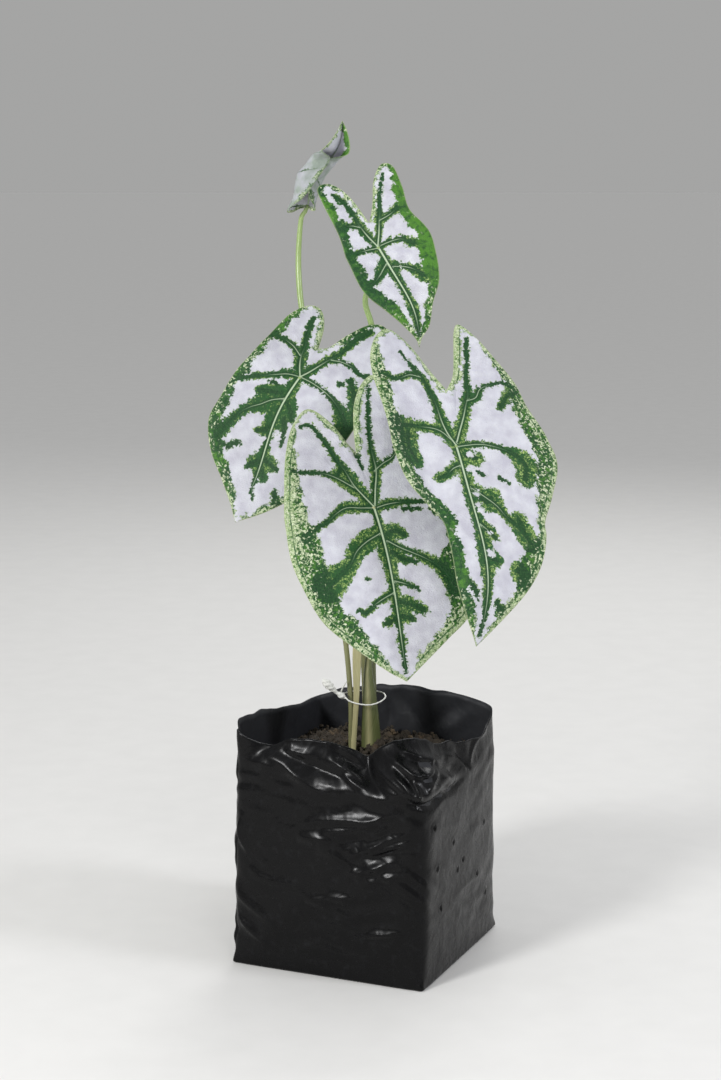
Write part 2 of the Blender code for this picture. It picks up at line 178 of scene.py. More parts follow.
def even(points, count):
    """The same curve as count points at equal distances along it."""
    run = run_along(points)
    at = np.linspace(0, run[-1], count)
    return np.stack([np.interp(at, run, points[:, k]) for k in range(points.shape[1])], axis=1)


def nearest(at, path):
    """Distance from each point to a path of straight runs, the side it lies on, the share of the path there,
    and the path's third column there. The foot of the perpendicular is held between the ends of each run."""
    best = np.full(len(at), np.inf)
    side, share, wide = np.ones(len(at)), np.zeros(len(at)), np.zeros(len(at))
    step = np.diff(path[:, :2], axis=0)
    length = np.r_[0, np.cumsum(np.hypot(*step.T))]
    for k in range(len(step)):
        off = at - path[k, :2]
        t = np.clip(off @ step[k] / max(step[k] @ step[k], 1e-9), 0, 1)
        gap = np.hypot(*(off - t[:, None] * step[k]).T)
        won = gap < best
        best[won] = gap[won]
        side[won] = np.sign(step[k, 0] * off[won, 1] - step[k, 1] * off[won, 0] + 1e-12)
        share[won] = ((length[k] + t * (length[k + 1] - length[k])) / length[-1])[won]
        wide[won] = (path[k, 2] + t * (path[k + 1, 2] - path[k, 2]))[won]
    return best, side, share, wide


arch = curve([(0, 0, 0), (10, 5, 0), (20, 0, 0)], 8)
gap = nearest(np.array([(10.0, 9.0)]), arch)[0]
print("an arch of", len(arch), "points passes (10, 9) at", gap.round(2), "mm")

# %% [markdown]
# ## The leaf blades: tables
# A caladium blade is a thin heart hung from its stalk by the back, with two lobes behind the joint
# and a tip in front. Each table gives the joint, the way the face looks (azimuth, tilt and roll in
# degrees), the bends, and the outline as (across, along) from the joint with the tip at positive
# along. The painting follows the veins: white tissue fills the fields between them, and green keeps
# to the veins and the margin. So each vein is a short path of (across, along, half width of its
# green), and the margin a path of (across, along, width of its green, percent of cream in it).
# "spot" paths are green islands with no vein line in them, and "windows" are small white openings
# in the green: (across, along, radius). "sun" tells how yellow and light the green of the left and of the
# right half is, from 0 to 1; it is partly the leaf's own tint and partly painted light on a lit half.
#
# Of the bends, bow and sway carry the midrib sideways, droop and lobe lower the tip and the lobes,
# keel and cup fold the halves, gutter is one dip (place, depth, width), wave is the margin's
# (height, count, phase), and lean is the angle at which the stalk meets the blade. The youngest
# blade is still rolled, and "roll" says so for its right half and its left: flat width, width and
# turn of the arc, the fold at the tip, then where the turn ends, over what length it fades, and how
# much the outer part climbs.

# %% Five leaf tables
LEAVES = {
    "front": dict(
        joint=(3.5, -52.0, 282.9), face=(8, 33, 7), length=103, bow=2.0, sway=0.4,
        droop=14, lobe=5, keel=0.1, cup=4, wave=(1.3, 7, 0.4), gutter=(0, 0, 10), lean=-40,
        left=[(0, 103), (-12, 95), (-28, 80), (-43, 64), (-51, 46), (-55, 27), (-53, 5), (-49, -19),
              (-44, -40), (-36, -59), (-25, -68), (-14, -56), (-7, -42), (-3, -36)],
        right=[(-3, -36), (-1, -52), (3, -69), (11, -82), (20, -85), (30, -75), (38, -57), (44, -34),
               (48, -8), (50, 16), (50, 40), (47, 58), (40, 73), (27, 83), (12, 94), (0, 103)],
        veins=dict(
            midrib=[[(0, 0, 2.6), (0, 9, 2.0), (0, 18, 4.0), (0, 30, 5.0), (0, 38, 3.2), (0, 50, 2.8),
                     (0, 60, 2.6), (0, 69, 3.0), (0, 74, 1.2), (0, 80, 2.4), (0, 86, 1.4), (0, 92, 0.7),
                     (0, 98, 0.3)]],
            lobe=[[(0, 0, 3), (-5, -8, 3.8), (-9, -15, 4.2), (-12, -24, 2.8), (-16, -33, 2.0),
                   (-19, -42, 1.4), (-22, -49, 1.1), (-26, -56, 1.0), (-31, -57, 0.8)],
                  [(1, -1, 2), (3, -10, 2.3), (6, -22, 2.8), (6, -34, 1.7), (7, -46, 1.0), (9, -58, 0.9),
                   (11, -68, 0.8), (13, -78, 0.6)]],
            side=[[(-9, -13, 4.5), (-16, -19, 3.2), (-22, -23, 1.5), (-28, -25, 1.1), (-36, -26, 0.9),
                   (-43, -28, 0.9)],
                  [(0, 1, 2.5), (-8, 0, 3), (-16, -1, 3.2), (-23, 2, 2.2), (-29, 6, 1.2), (-36, 9, 1.8),
                   (-45, 15, 2.2)],
                  [(-1, 17, 4.5), (-10, 21, 6), (-17, 26, 5.2), (-22, 33, 4.2), (-28, 38, 6.5),
                   (-37, 44, 9)],
                  [(-1, 53, 3), (-6, 55, 2.2), (-12, 58, 1.3), (-18, 62, 1.6), (-22, 60, 1.0)],
                  [(5, -22, 2.8), (11, -26, 1.8), (17, -29, 1.3), (22, -36, 1.6), (25, -48, 2.6)],
                  [(2, 1, 2.2), (8, 0, 3.0), (16, 0, 2.0), (24, 1, 1.2), (28, 2, 0.8)],
                  [(2, 22, 2.4), (8, 27, 1.8), (14, 31, 1.8), (20, 35, 2.6), (26, 40, 3.0), (31, 47, 3.6),
                   (34, 57, 3)],
                  [(1, 46, 2.2), (8, 49, 1.2), (14, 53, 0.5)]],
            spot=[[(1, 19, 4.5), (7, 17, 4.6), (12, 20, 2.4)], [(3, 29, 3.6), (8, 34, 2.6), (15, 37, 1.4)],
                  [(1, 58, 2.6), (6, 60, 3.8), (12, 63, 2.8), (16, 66, 1.4)], [(1, 66, 4), (8, 69, 2)],
                  [(-2, 68, 2.6), (-8, 70, 1.7)], [(-17, -22, 3.4), (-13, -27, 2.2)],
                  [(-14.5, 43.3, 0.9), (-14.3, 43.6, 0.9)], [(-3, -34, 1.2), (-2, -24, 0.4)],
                  [(16, 5, 1.0), (25, 5, 0.8)]]),
        windows=[(-42, 32, 4.2), (-47, 36, 2.2), (25, 81, 2.6)],
        margin=[(0, 103, 0.4, 60), (-6, 99, 2.6, 45), (-15, 91, 6, 34), (-28, 80, 10, 32),
                (-40, 66, 14, 36), (-51, 46, 17, 40), (-55, 27, 18, 50), (-55, 15, 18, 64),
                (-53, 3, 13, 80), (-51, -10, 11, 80), (-49, -20, 9, 70), (-45, -36, 7, 60),
                (-40, -50, 4, 60), (-33, -63, 2, 70), (-25, -68, 2, 70), (-17, -60, 3, 60),
                (-8, -44, 3, 60), (-3, -36, 3, 70), (-1, -52, 3.6, 70), (3, -69, 4, 65), (11, -82, 3, 60),
                (20, -85, 3, 60), (30, -75, 4, 50), (44, -34, 8, 50), (48, -8, 14, 40), (49, 5, 19, 35),
                (50, 16, 13, 35), (50, 28, 13, 35), (50, 40, 24, 34), (47, 58, 18, 40), (40, 73, 12, 50),
                (27, 83, 7, 62), (12, 94, 5, 65), (4, 100, 0.8, 60)],
        sun=(0.6, 0.6)),
    "right": dict(
        joint=(50.1, -62.0, 319.9), face=(22, 36, -4), length=114, bow=7.9, sway=-2.6,
        droop=26, lobe=8, keel=0.12, cup=3, wave=(1.2, 8, 1.1), gutter=(-22, 5, 9), lean=-40,
        left=[(0, 114), (-10, 99), (-17, 80), (-19, 60), (-20, 45), (-27, 35), (-35, 24), (-39, 8),
              (-40, -10), (-41, -30), (-42, -45), (-41, -60), (-35, -73), (-25, -79), (-13, -67), (-5, -49),
              (1, -36)],
        right=[(1, -36), (7, -46), (12, -63), (17, -82), (21, -85), (27, -76), (35, -60), (45, -42),
               (49, -24), (56, -3), (58, 14), (50, 32), (40, 48), (38, 57), (32, 73), (24, 86), (12, 100),
               (0, 114)],
        veins=dict(
            midrib=[[(0, 0, 3.2), (0, 10, 3.0), (0, 20, 3.6), (0, 32, 3.4), (0, 45, 3.0), (0, 56, 3.8),
                     (0, 66, 4.4), (0, 76, 3.4), (0, 84, 2.6), (0, 92, 2.0), (0, 99, 0.9), (0, 108, 0.4)]],
            lobe=[[(0, 0, 4), (-4, -8, 4.2), (-6, -16, 3.2), (-7, -25, 2.4), (-9, -34, 2.1),
                   (-11, -41, 2.1), (-14, -47, 2.1), (-18, -54, 0.9), (-22, -62, 0.6)],
                  [(1, -2, 3), (4, -9, 3.6), (8, -18, 3.0), (11, -26, 2.6), (14, -34, 2.4), (15, -45, 1.1),
                   (18, -56, 0.9), (20, -66, 0.9), (22, -74, 0.7)]],
            side=[[(-13, -45, 2.8), (-20, -46, 1.6), (-28, -43, 1.4), (-36, -46, 2.6)],
                  [(-2, -3, 4), (-8, -9, 3.1), (-16, -12, 2.6), (-24, -13, 3.8), (-30, -12, 6),
                   (-35, -10, 7)],
                  [(-1, 13, 4), (-6, 15, 2.6), (-11, 19, 2.4), (-15, 20, 2)],
                  [(12, -29, 3.2), (18, -31, 2.6), (22, -37, 1.2), (30, -40, 0.7), (38, -41, 0.8),
                   (43, -38, 2)],
                  [(1, 1, 2.5), (12, 0, 1.7), (20, 1, 1.3), (28, 4, 1.8), (34, 8, 4.6), (38, 14, 6.6),
                   (36, 22, 5.4)],
                  [(2, 27, 3), (8, 32, 4), (14, 38, 3.6), (18, 45, 1.8), (24, 52, 4.6), (28, 60, 5)],
                  [(1, 48, 3), (5, 52, 3), (8, 56, 1.6)]],
            spot=[[(3, 30, 5.2), (8, 35, 6), (12, 33, 5.2)], [(24, 46, 3.6), (26, 56, 5)],
                  [(-28, -8, 6), (-30, 2, 7), (-27, 9, 4.6)],
                  [(42, -36, 3.6), (36, -30, 2.6), (31, -23, 1.6)], [(2, 66, 4.2), (6, 69, 3)],
                  [(6, 91, 1.0), (9, 96, 2.6)], [(4, 7, 4.8), (9, 9, 4.2)], [(7, 17, 0.5), (11, 20, 0.5)],
                  [(20, 22, 0.5), (24, 25, 0.5)], [(-17, 72, 0.8), (-8, 84, 0.8), (-6, 90, 0.5)],
                  [(18, 74, 4), (22, 80, 5)]]),
        windows=[(6, 6.5, 2.2), (9.5, 6, 1.3), (3.2, 16, 1.9), (4, 30, 1.9), (3.2, 37, 1.8), (3.6, 40, 1.7),
                 (5, 53, 1.2), (3.4, 64, 2.4), (24, 67, 1.1), (28, 67.5, 1.1), (25.5, 73, 1.2),
                 (47, -2, 2.0), (45, 2.5, 1.4), (41, 29, 1.5)],
        margin=[(0, 114, 0.4, 40), (-5, 107, 2.4, 25), (-10, 99, 4, 12), (-15, 88, 5, 6), (-18, 75, 5.6, 4),
                (-19, 60, 5.6, 2), (-20, 47, 6, 4), (-27, 36, 8, 18), (-35, 25, 8, 26), (-39, 8, 8.4, 32),
                (-40, -10, 8.4, 38), (-41, -30, 8, 42), (-42, -45, 7, 46), (-40, -62, 5.6, 52),
                (-35, -73, 2.8, 60), (-25, -79, 2.4, 65), (-15, -71, 2.4, 60), (-8, -55, 2.4, 60),
                (-2, -42, 3, 60), (1, -36, 4, 70), (7, -46, 4, 75), (12, -63, 4, 75), (16, -80, 3.4, 65),
                (21, -85, 1.8, 60), (30, -72, 1.8, 55), (38, -58, 3.8, 45), (45, -42, 5.4, 32),
                (49, -24, 9.6, 34), (54, -8, 13, 36), (58, 8, 13, 38), (56, 20, 13, 38), (50, 32, 11, 38),
                (42, 45, 5, 45), (39, 52, 3, 45), (37, 62, 7, 34), (32, 73, 12, 30), (26, 83, 10, 32),
                (18, 93, 6, 45), (10, 103, 3.6, 55), (4, 110, 0.8, 50)],
        sun=(0.1, 0.4)),
    "left": dict(
        joint=(-40.3, 20.0, 349.6), face=(-6, 32, -21), length=96, bow=-0.7, sway=-2.1,
        droop=14, lobe=5, keel=0.1, cup=4, wave=(1.2, 7, 2.0), gutter=(0, 0, 10), lean=-40,
        left=[(0, 96), (-8, 87), (-20, 75), (-32, 62), (-39, 45), (-37, 27), (-35, 6), (-30, -17),
              (-24, -36), (-15, -46), (-7, -46), (-1, -37), (2, -22)],
        right=[(2, -22), (8, -25), (16, -37), (25, -48), (34, -50), (42, -40), (46, -22), (47, 0), (46, 24),
               (41, 45), (33, 62), (22, 75), (11, 87), (0, 96)],
        veins=dict(
            midrib=[[(0, 0, 3), (0, 8, 3.6), (0, 16, 5), (0, 24, 8), (0, 32, 6), (0, 38, 5), (0, 44, 1.2),
                     (0, 50, 3), (0, 57, 5), (0, 63, 5), (0, 67, 1.4), (0, 74, 0.6), (3, 80, 0.8)]],
            lobe=[[(0, 0, 3), (-3, -6, 3), (-5, -12, 3.6), (-6, -20, 2.2), (-8, -28, 1.8), (-9, -39, 1.3)],
                  [(0, 0, 3), (4, -5, 3), (8, -11, 2.3), (12, -17, 2.6), (16, -22, 2.3), (19, -29, 1.8),
                   (22, -36, 2.3), (27, -43, 2)]],
            side=[[(-6, -13, 3.2), (-12, -17, 1.7), (-18, -19, 1.6), (-25, -20, 1.8), (-29, -22, 2)],
                  [(0, 0, 3), (-7, 1, 2.8), (-13, 4, 2.2), (-20, 8, 1.6), (-26, 11, 2.2), (-32, 14, 2)],
                  [(0, 16, 5), (-7, 20, 6.6), (-12, 25, 6), (-17, 29, 3.2), (-22, 35, 2.6), (-26, 43, 2.8),
                   (-30, 51, 3)],
                  [(13, -17, 2.4), (20, -18, 1.2), (27, -17, 1.2), (33, -14, 1.2), (38, -14, 1.2)],
                  [(0, 0, 2.5), (8, 1, 1.3), (16, 3, 1.2), (24, 6, 1.2), (31, 10, 2.3), (36, 14, 4.6),
                   (42, 20, 6.6), (46, 26, 6)]],
            spot=[[(-4, 14, 5), (-12, 16, 4.4), (-16, 17, 2.6)], [(0, 34, 6), (-4, 39, 3.6), (-8, 41, 1.6)],
                  [(2, 18, 5), (7, 23, 3.8), (10, 28, 1.6)], [(5, 28, 3), (8, 36, 1.1), (9, 44, 0.8)],
                  [(0, 57, 4), (-5, 60, 3.6), (-7, 63, 1.6)], [(2, 56, 4.6), (8, 58, 3.6), (11, 59, 1.4)],
                  [(2, 62, 4), (4, 66, 2.6)], [(25, -3.5, 1.3), (26, -3.5, 1.0)],
                  [(14, 72, 1.4), (17, 77, 2.6)], [(-23, 57, 1.0), (-19, 53, 1.2), (-16, 52, 0.6)],
                  # the spot from (30, -8) to (42, 8) is partly leaf green and partly painted shadow, where
                  # the front and right leaves overlap
                  [(30, -8, 1.6), (36, 0, 3.4), (42, 8, 4)], [(-9, 9.5, 0.6), (-14, 9.5, 0.6)]]),
        windows=[(4.2, 38, 2.0), (5.6, 42, 2.2), (-29, 9, 2.4)],
        margin=[(0, 96, 0.5, 30), (-8, 88, 2.6, 25), (-14, 80, 4.6, 25), (-22, 74, 6, 15), (-32, 62, 8, 12),
                (-38, 48, 9.4, 14), (-38, 35, 8, 16), (-37, 20, 4.4, 14), (-36, 8, 7, 20),
                (-34, -5, 4.6, 22), (-31, -20, 3.6, 12), (-27, -32, 5.6, 10), (-20, -42, 3.0, 15),
                (-11, -47, 1.8, 40), (-4, -42, 2.6, 45), (0, -30, 3.4, 55), (2, -22, 2.6, 60),
                (8, -25, 2.6, 45), (16, -37, 3.4, 15), (25, -48, 3.4, 10), (34, -50, 3, 10),
                (42, -40, 3, 20), (46, -22, 3, 20), (47, 0, 3, 20), (46, 24, 6, 5), (41, 45, 6, 5),
                (33, 62, 6, 15), (25, 72, 3, 25), (20, 77, 4, 25), (11, 87, 2.6, 30), (4, 93, 0.8, 30)],
        sun=(0.0, 0.1)),
    "upper": dict(
        joint=(6.2, 12.0, 427.7), face=(0, 26, 22), length=65, bow=4.6, sway=-1.3,
        droop=9, lobe=4, keel=0.16, cup=3, wave=(0.8, 7, 0.0), gutter=(0, 0, 10), lean=-40,
        left=[(0, 65), (-2, 60), (-9, 50), (-16, 38), (-22, 24), (-21, 4), (-19, -14), (-20, -36),
              (-19, -49), (-11, -50), (-4, -39), (1, -16)],
        right=[(1, -16), (7, -26), (14, -41), (22, -49), (28, -45), (28, -30), (26, -14), (31, 2), (28, 17),
               (21, 33), (12, 44), (7, 55), (2, 60), (0, 65)],
        veins=dict(
            midrib=[[(0, 0, 2.3), (0, 10, 2.3), (0, 18, 2.8), (0, 30, 2.2), (0, 42, 2.6), (0, 50, 1.8),
                     (0, 58, 0.8)]],
            lobe=[[(0, 0, 2), (-3, -8, 2.3), (-5, -16, 2.5), (-6, -24, 1.5), (-7, -31, 0.9), (-9, -36, 1.5),
                   (-12, -41, 0.9)],
                  [(0, 0, 1.5), (4, -8, 1.5), (7, -15, 2.2), (10, -22, 1.3), (13, -29, 0.8), (17, -37, 0.6),
                   (20, -41, 0.4)]],
            side=[[(-5, -15, 2.4), (-10, -18, 1.8), (-17, -18, 3)],
                  [(0, 1, 1.8), (-8, 0, 1.1), (-14, 0, 1.3), (-19, 0, 2.5)],
                  [(-1, 12, 3.6), (-5, 15, 3.0), (-9, 18, 2.1), (-15, 21, 1.6), (-20, 20, 3)],
                  [(7, -15, 2.7), (14, -16, 1.7), (20, -18, 2.8), (25, -17, 3)],
                  [(2, 0, 1.3), (8, 0, 1.2), (14, 1, 1.7), (18, 5, 2.8), (24, 9, 2)],
                  [(2, 15, 3.6), (8, 18, 1.7), (12, 22, 2.8), (15, 27, 3.8), (19, 27, 4)]]),
        windows=[(5, 17, 1.0)],
        margin=[(0, 65, 0.4, 30), (-5, 56, 3, 20), (-9, 50, 5, 10), (-14, 42, 6.6, 4), (-19, 33, 7.4, 0),
                (-22, 22, 7, 0), (-21, 5, 5.4, 0), (-19, -10, 5.4, 0), (-20, -30, 5, 0), (-19, -47, 3, 6),
                (-14, -50, 3, 15), (-8, -46, 2.4, 25), (-3, -33, 2.2, 45), (1, -16, 2.2, 50),
                (6, -25, 2.2, 50), (14, -41, 2.2, 40), (22, -49, 1.6, 20), (28, -43, 3.6, 6),
                (27, -28, 5.4, 0), (26, -15, 5.4, 2), (30, -3, 7, 2), (30, 6, 9.4, 0), (28, 17, 9.4, 0),
                (24, 27, 8.6, 0), (19, 36, 6.4, 5), (13, 43, 4.6, 10), (8, 54, 3.6, 12), (2, 60, 0.8, 30)],
        sun=(0.0, 0.9)),
    "top": dict(
        joint=(-36.0, 60.0, 450.3), face=(4, -4, 158), length=55, bow=-0.8, sway=3.0,
        droop=-4, lobe=0, keel=0.0, cup=0, wave=(0.5, 6, 0.7), gutter=(0, 0, 10), lean=72,
        roll=((5.5, 16, 176, 64, 38, 11, 0.3), (1.5, 10, 162, 48, 42, 12, 0.1)),
        left=[(0, 55), (-4, 51), (-8, 45), (-12, 37), (-16, 28), (-18, 17), (-17, 8), (-12, 2), (-5, -2),
              (0, -2)],
        right=[(0, -2), (4, -4), (8, -8), (13, -8), (20, -2), (26, 7), (29, 17), (28, 27), (21, 36),
               (13, 44), (5, 51), (0, 55)],
        veins=dict(
            midrib=[[(0, 0, 1.0), (0, 20, 0.9), (0, 34, 0.4), (0, 44, 0.2), (0, 52, 0.1)]],
            side=[[(0, 6, 1.0), (-8, 12, 0.9), (-15, 18, 0.7)],
                  [(0, 8, 1.0), (10, 14, 0.9), (25, 20, 0.8)],
                  [(0, 22, 1.0), (9, 28, 0.9), (22, 33, 0.7)]],
            lobe=[[(0, 0, 1), (6, -3, 0.9), (12, -6, 0.7)]]),
        windows=[],
        margin=[(0, 55, 1.2, 20), (-4, 51, 3.4, 5), (-7, 47, 4.8, 0), (-10, 41, 2.0, 0), (-12, 37, 5.2, 0),
                (-14, 33, 2.4, 5), (-18, 17, 2.2, 10), (-12, 2, 1.6, 20), (0, -2, 1, 40), (8, -8, 2, 60),
                (20, -2, 1.6, 40), (29, 17, 1.6, 30), (28, 27, 1.4, 40), (21, 36, 1.2, 40),
                (13, 44, 1.4, 30), (5, 51, 1.2, 30)],
        sun=(1.0, 1.0)),
}
print("leaves:", ", ".join(LEAVES))
print("veins and spots:", {key: sum(map(len, spec["veins"].values())) for key, spec in LEAVES.items()})

# %% [markdown]
# ## The leaf blades: form
# The blade could be modelled by hand on a curved plane, but its bends are simple enough to write
# down: the tip and the lobes droop, the two halves fold a little along the midrib, and the margin
# waves. A leaf also has relief of its own. On the upper face the veins lie in shallow grooves and
# the tissue between them swells; underneath the same veins stand out as ribs.

# %% Blade surface
def blade_axes(spec):
    """Across, along and facing directions from azimuth, tilt and roll in degrees."""
    az, tilt, roll = np.radians(spec["face"])
    facing = np.array([np.sin(az) * np.cos(tilt), -np.cos(az) * np.cos(tilt), np.sin(tilt)])
    down = np.array([np.sin(az) * np.sin(tilt), -np.cos(az) * np.sin(tilt), -np.cos(tilt)])
    right = np.cross(facing, down)
    return np.cos(roll) * right - np.sin(roll) * down, np.cos(roll) * down + np.sin(roll) * right, facing


def rolled(halves, a, b):
    """Each half of a young blade, carried from the midrib: flat for a little way, then round an arc, then
    flat again. The turn fades toward the tip, where the half is only folded up about the midrib."""
    new_a, new_b, rise = np.zeros_like(a), b + 0.0, np.zeros_like(a)
    for sign, (flat, arc, turn, fold, stop, fade, climb) in zip((1, -1), halves):
        part = np.clip((stop - b) / fade, 0, 1)
        part = part * part * (3 - 2 * part)
        way = np.clip(sign * a, 0, None)
        bend, open_fold = np.radians(turn) * part, np.radians(fold) * (1 - part)
        on_arc, past = np.clip(way - flat, 0, arc), np.clip(way - flat - arc, 0, None)
        phi = bend * on_arc / arc + 1e-6
        out = np.minimum(way, flat) + on_arc * np.sin(phi) / phi + past * np.cos(bend)
        up = on_arc * (1 - np.cos(phi)) / phi + past * np.sin(bend)
        new_a += sign * (out * np.cos(open_fold) - up * np.sin(open_fold))
        rise += out * np.sin(open_fold) + up * np.cos(open_fold)
        new_b += climb * part * np.clip(way - flat - arc / 2, 0, None)
    return new_a, new_b, rise


def blade_form(spec, a, b, edge, run):
    """Joint + side * across + b * along + rise * facing. The rise falls with the square of the way to the
    tip and to the lobes, climbs with the distance from the midrib (keel), falls again with its square (cup),
    dips in one bell-shaped gutter, and waves with edge cubed at the margin."""
    across, along, facing = blade_axes(spec)
    t = b / spec["length"]
    ahead, behind = np.clip(t, 0, 1), np.clip(-t, 0, None)
    at, deep, wide = spec["gutter"]
    height, count, phase = spec["wave"]
    rise = (-spec["droop"] * ahead ** 2 - spec["lobe"] * (behind / 0.7) ** 2
            + spec["keel"] * (np.sqrt(a * a + 36) - 6) - spec["cup"] * (a / 50) ** 2
            - deep * np.exp(-((a - at) / wide) ** 2) * np.clip((b + 40) / 40, 0, 1)
            + height * edge ** 3 * np.sin(2 * np.pi * count * run + phase))
    if "roll" in spec:
        a, b, curled = rolled(spec["roll"], a, b)
        rise = rise + curled
    side = a + spec["bow"] * 4 * ahead * (1 - ahead) + spec["sway"] * np.sin(2 * np.pi * ahead)
    return np.array(spec["joint"]) + side[:, None] * across + b[:, None] * along + rise[:, None] * facing


for key, spec in LEAVES.items():
    print(key, "leaf faces", blade_axes(spec)[2].round(2))

# %% [markdown]
# ## The leaf blades: painting fields
# The pattern is not drawn. Each point of a blade is told how far it lies inside or outside the
# green of the nearest vein, how far from the green margin, how far from the rim, and where it sits
# across the nearest vein line. The finish later turns those distances into colour, with teeth and
# flecks from noise at the size the real ones have.

# %% Distances to veins and margin
# half width of a vein line at its start and its end (mm); its paleness, and over what share of its length
VEIN_HALF = {"midrib": (0.56, 0.24), "lobe": (0.42, 0.18), "side": (0.30, 0.14)}
VEIN_PALE = {"midrib": (1.0, 0.84), "lobe": (0.85, 0.30), "side": (0.6, 0.45)}
# mm that the green of the veins is wider than the table says (minus is narrower)
HALO_GROW = {"front": 0.6, "right": 0.7, "left": 0.6, "upper": 0.7, "top": -1.0}
FAR, STREAK_STEP = 1e3, 5.0    # mm: farther than any vein; between the streak patterns of two veins


def vein_fields(spec, a, b, grow):
    """Halo: least of (distance to a vein - half width of its green), with the windows cut out of it. Line:
    side distance over the vein's own half width. Groove: a bell across each vein line. Ribs: distance to
    the nearest line. Streak: way along the nearest vein, distance from it, and the step of its pattern."""
    at, zero = np.column_stack([a, b]), np.zeros(len(a))
    halo, groove, ribs = zero + FAR, zero, zero + FAR
    line = np.column_stack([zero + 9.0, zero + 9.0, zero])
    streak = np.column_stack([zero, zero + 99.0, zero])
    veins = [(kind, path) for kind, paths in spec["veins"].items() for path in paths]
    for number, (kind, points) in enumerate(veins):
        path = curve(points, 4)
        far, side, share, wide = nearest(at, path)
        reach = np.linalg.norm(np.diff(path[:, :2], axis=0), axis=1).sum()
        closer = far < streak[:, 1]
        streak[closer] = np.column_stack([share * reach, far, zero + STREAK_STEP * number])[closer]
        halo = np.minimum(halo, far - wide - grow)
        if kind == "spot":
            continue
        start, end = VEIN_HALF[kind]
        half = start + (end - start) * share
        near = far / half < line[:, 1]
        pale = VEIN_PALE[kind][0] / (1 + np.exp((share - VEIN_PALE[kind][1]) / 0.05))
        line[near] = np.column_stack([side * far / half, far / half, pale])[near]
        groove = np.maximum(groove, np.exp(-(far / (2.2 * half)) ** 2) * half / 0.75)
        ribs = np.minimum(ribs, far)
    for u, v, r in spec["windows"]:
        halo = np.maximum(halo, r - np.hypot(a - u, b - v))
    return halo, line, groove, ribs, streak


def margin_fields(spec, a, b, rim):
    """Distance to the rim, that distance - width of the green margin there, and the share of cream there.
    Each mark of the margin belongs to the nearest point of the rim, and values run straight between marks."""
    closed = np.column_stack([np.vstack([rim, rim[:1]]), np.arange(len(rim) + 1)])
    far, _, _, place = nearest(np.column_stack([a, b]), closed[::3])
    marks = np.array(spec["margin"], float)
    gaps = np.hypot(rim[None, :, 0] - marks[:, None, 0], rim[None, :, 1] - marks[:, None, 1])
    where = np.argmin(gaps, axis=1)
    order = np.argsort(where)
    width, cream = (np.interp(place, where[order], marks[order, k], period=len(rim)) for k in (2, 3))
    return far, far - width, cream / 100


print("half widths of the vein lines, mm:", VEIN_HALF)

# %% [markdown]
# ## The leaf finish
# A living caladium blade is satin: a thin wax over the skin gives a broad soft highlight, never a
# mirror. White fields are a faint lavender, because no green lies behind them. The green is dark
# along the veins and breaks up into yellow-green flecks where it meets the white; the margin is a
# fine mosaic of cream and green with a hairline cream rim. Noise of 1 to 3 mm pushes the edges of
# the green in and out, which makes the small teeth that the real pattern has.

# %% Leaf finish: fields and noises
# size in mm, detail and roughness of the noises for teeth, flecks, clouds and patches
LEAF_NOISES = ((2.6, 3.0, 0.62), (1.0, 2.0, 0.6), (17, 2.0, 0.5), (7, 2.0, 0.5))
LEAF_STREAK = (1.1, 3.6)    # mm, width and length of the streaks beside a vein

leaf, leaf_skin = new_finish("living leaf blade, satin cuticle")
where, streak_at, *layers = (add(leaf, "Attribute", {}, 1, attribute_name="leaf_" + key)
                             for key in ("place", "streak", "field", "line", "tone"))
(halo, band, rim_gap), (across, apart, pale), (cream, sun, under) = (
    add(leaf, "SeparateXYZ", {0: layer}, slice(0, 3)) for layer in layers)
tooth, fleck, cloud, patch = (
    add(leaf, "TexNoise", {"Vector": where, "Scale": 1 / size, "Detail": detail, "Roughness": rough})
    for size, detail, rough in LEAF_NOISES)
# (way along the nearest vein, distance from it, vein number): noise squeezed along the vein gives streaks
# that stand across it, as the veinlets do
from_vein = add(leaf, "SeparateXYZ", {0: streak_at}, 1)
streak_map = add(leaf, "Mapping", {0: streak_at, 3: (1 / LEAF_STREAK[0], 1 / LEAF_STREAK[1], 1.0)})
streak = add(leaf, "TexNoise", {"Vector": streak_map, "Scale": 1.0, "Detail": 2.0, "Roughness": 0.55})
print("leaf nodes for fields and noises:", len(leaf.node_tree.nodes))


# %% Leaf finish: edges of the green
def push_of(*parts):
    """Sum of (noise - 0.5) * reach over pairs of noise and reach: a push in millimetres either way."""
    total = None
    for noise, reach in parts:
        level = add(leaf, "Math", {0: noise, 1: 0.5}, operation="SUBTRACT")
        part = add(leaf, "Math", {0: level, 1: reach}, operation="MULTIPLY")
        total = part if total is None else add(leaf, "Math", {0: total, 1: part}, operation="ADD")
    return total


halo_push = push_of((tooth, 6.6), (fleck, 2.2), (streak, 2.6))
halo_edge = add(leaf, "Math", {0: halo, 1: halo_push}, operation="ADD")
band_push = push_of((tooth, 7.0), (fleck, 3.4), (patch, 9.0))
band_edge = add(leaf, "Math", {0: band, 1: band_push}, operation="ADD")
edge = add(leaf, "Math", {0: halo_edge, 1: band_edge}, operation="MINIMUM")
in_vein = add(leaf, "MapRange", {0: halo_edge, 1: 0.3, 2: -0.3})
in_band = add(leaf, "MapRange", {0: band_edge, 1: 0.8, 2: -0.8})
is_green = add(leaf, "MapRange", {0: edge, 1: 0.15, 2: -0.15})
print("leaf nodes with the edges:", len(leaf.node_tree.nodes))

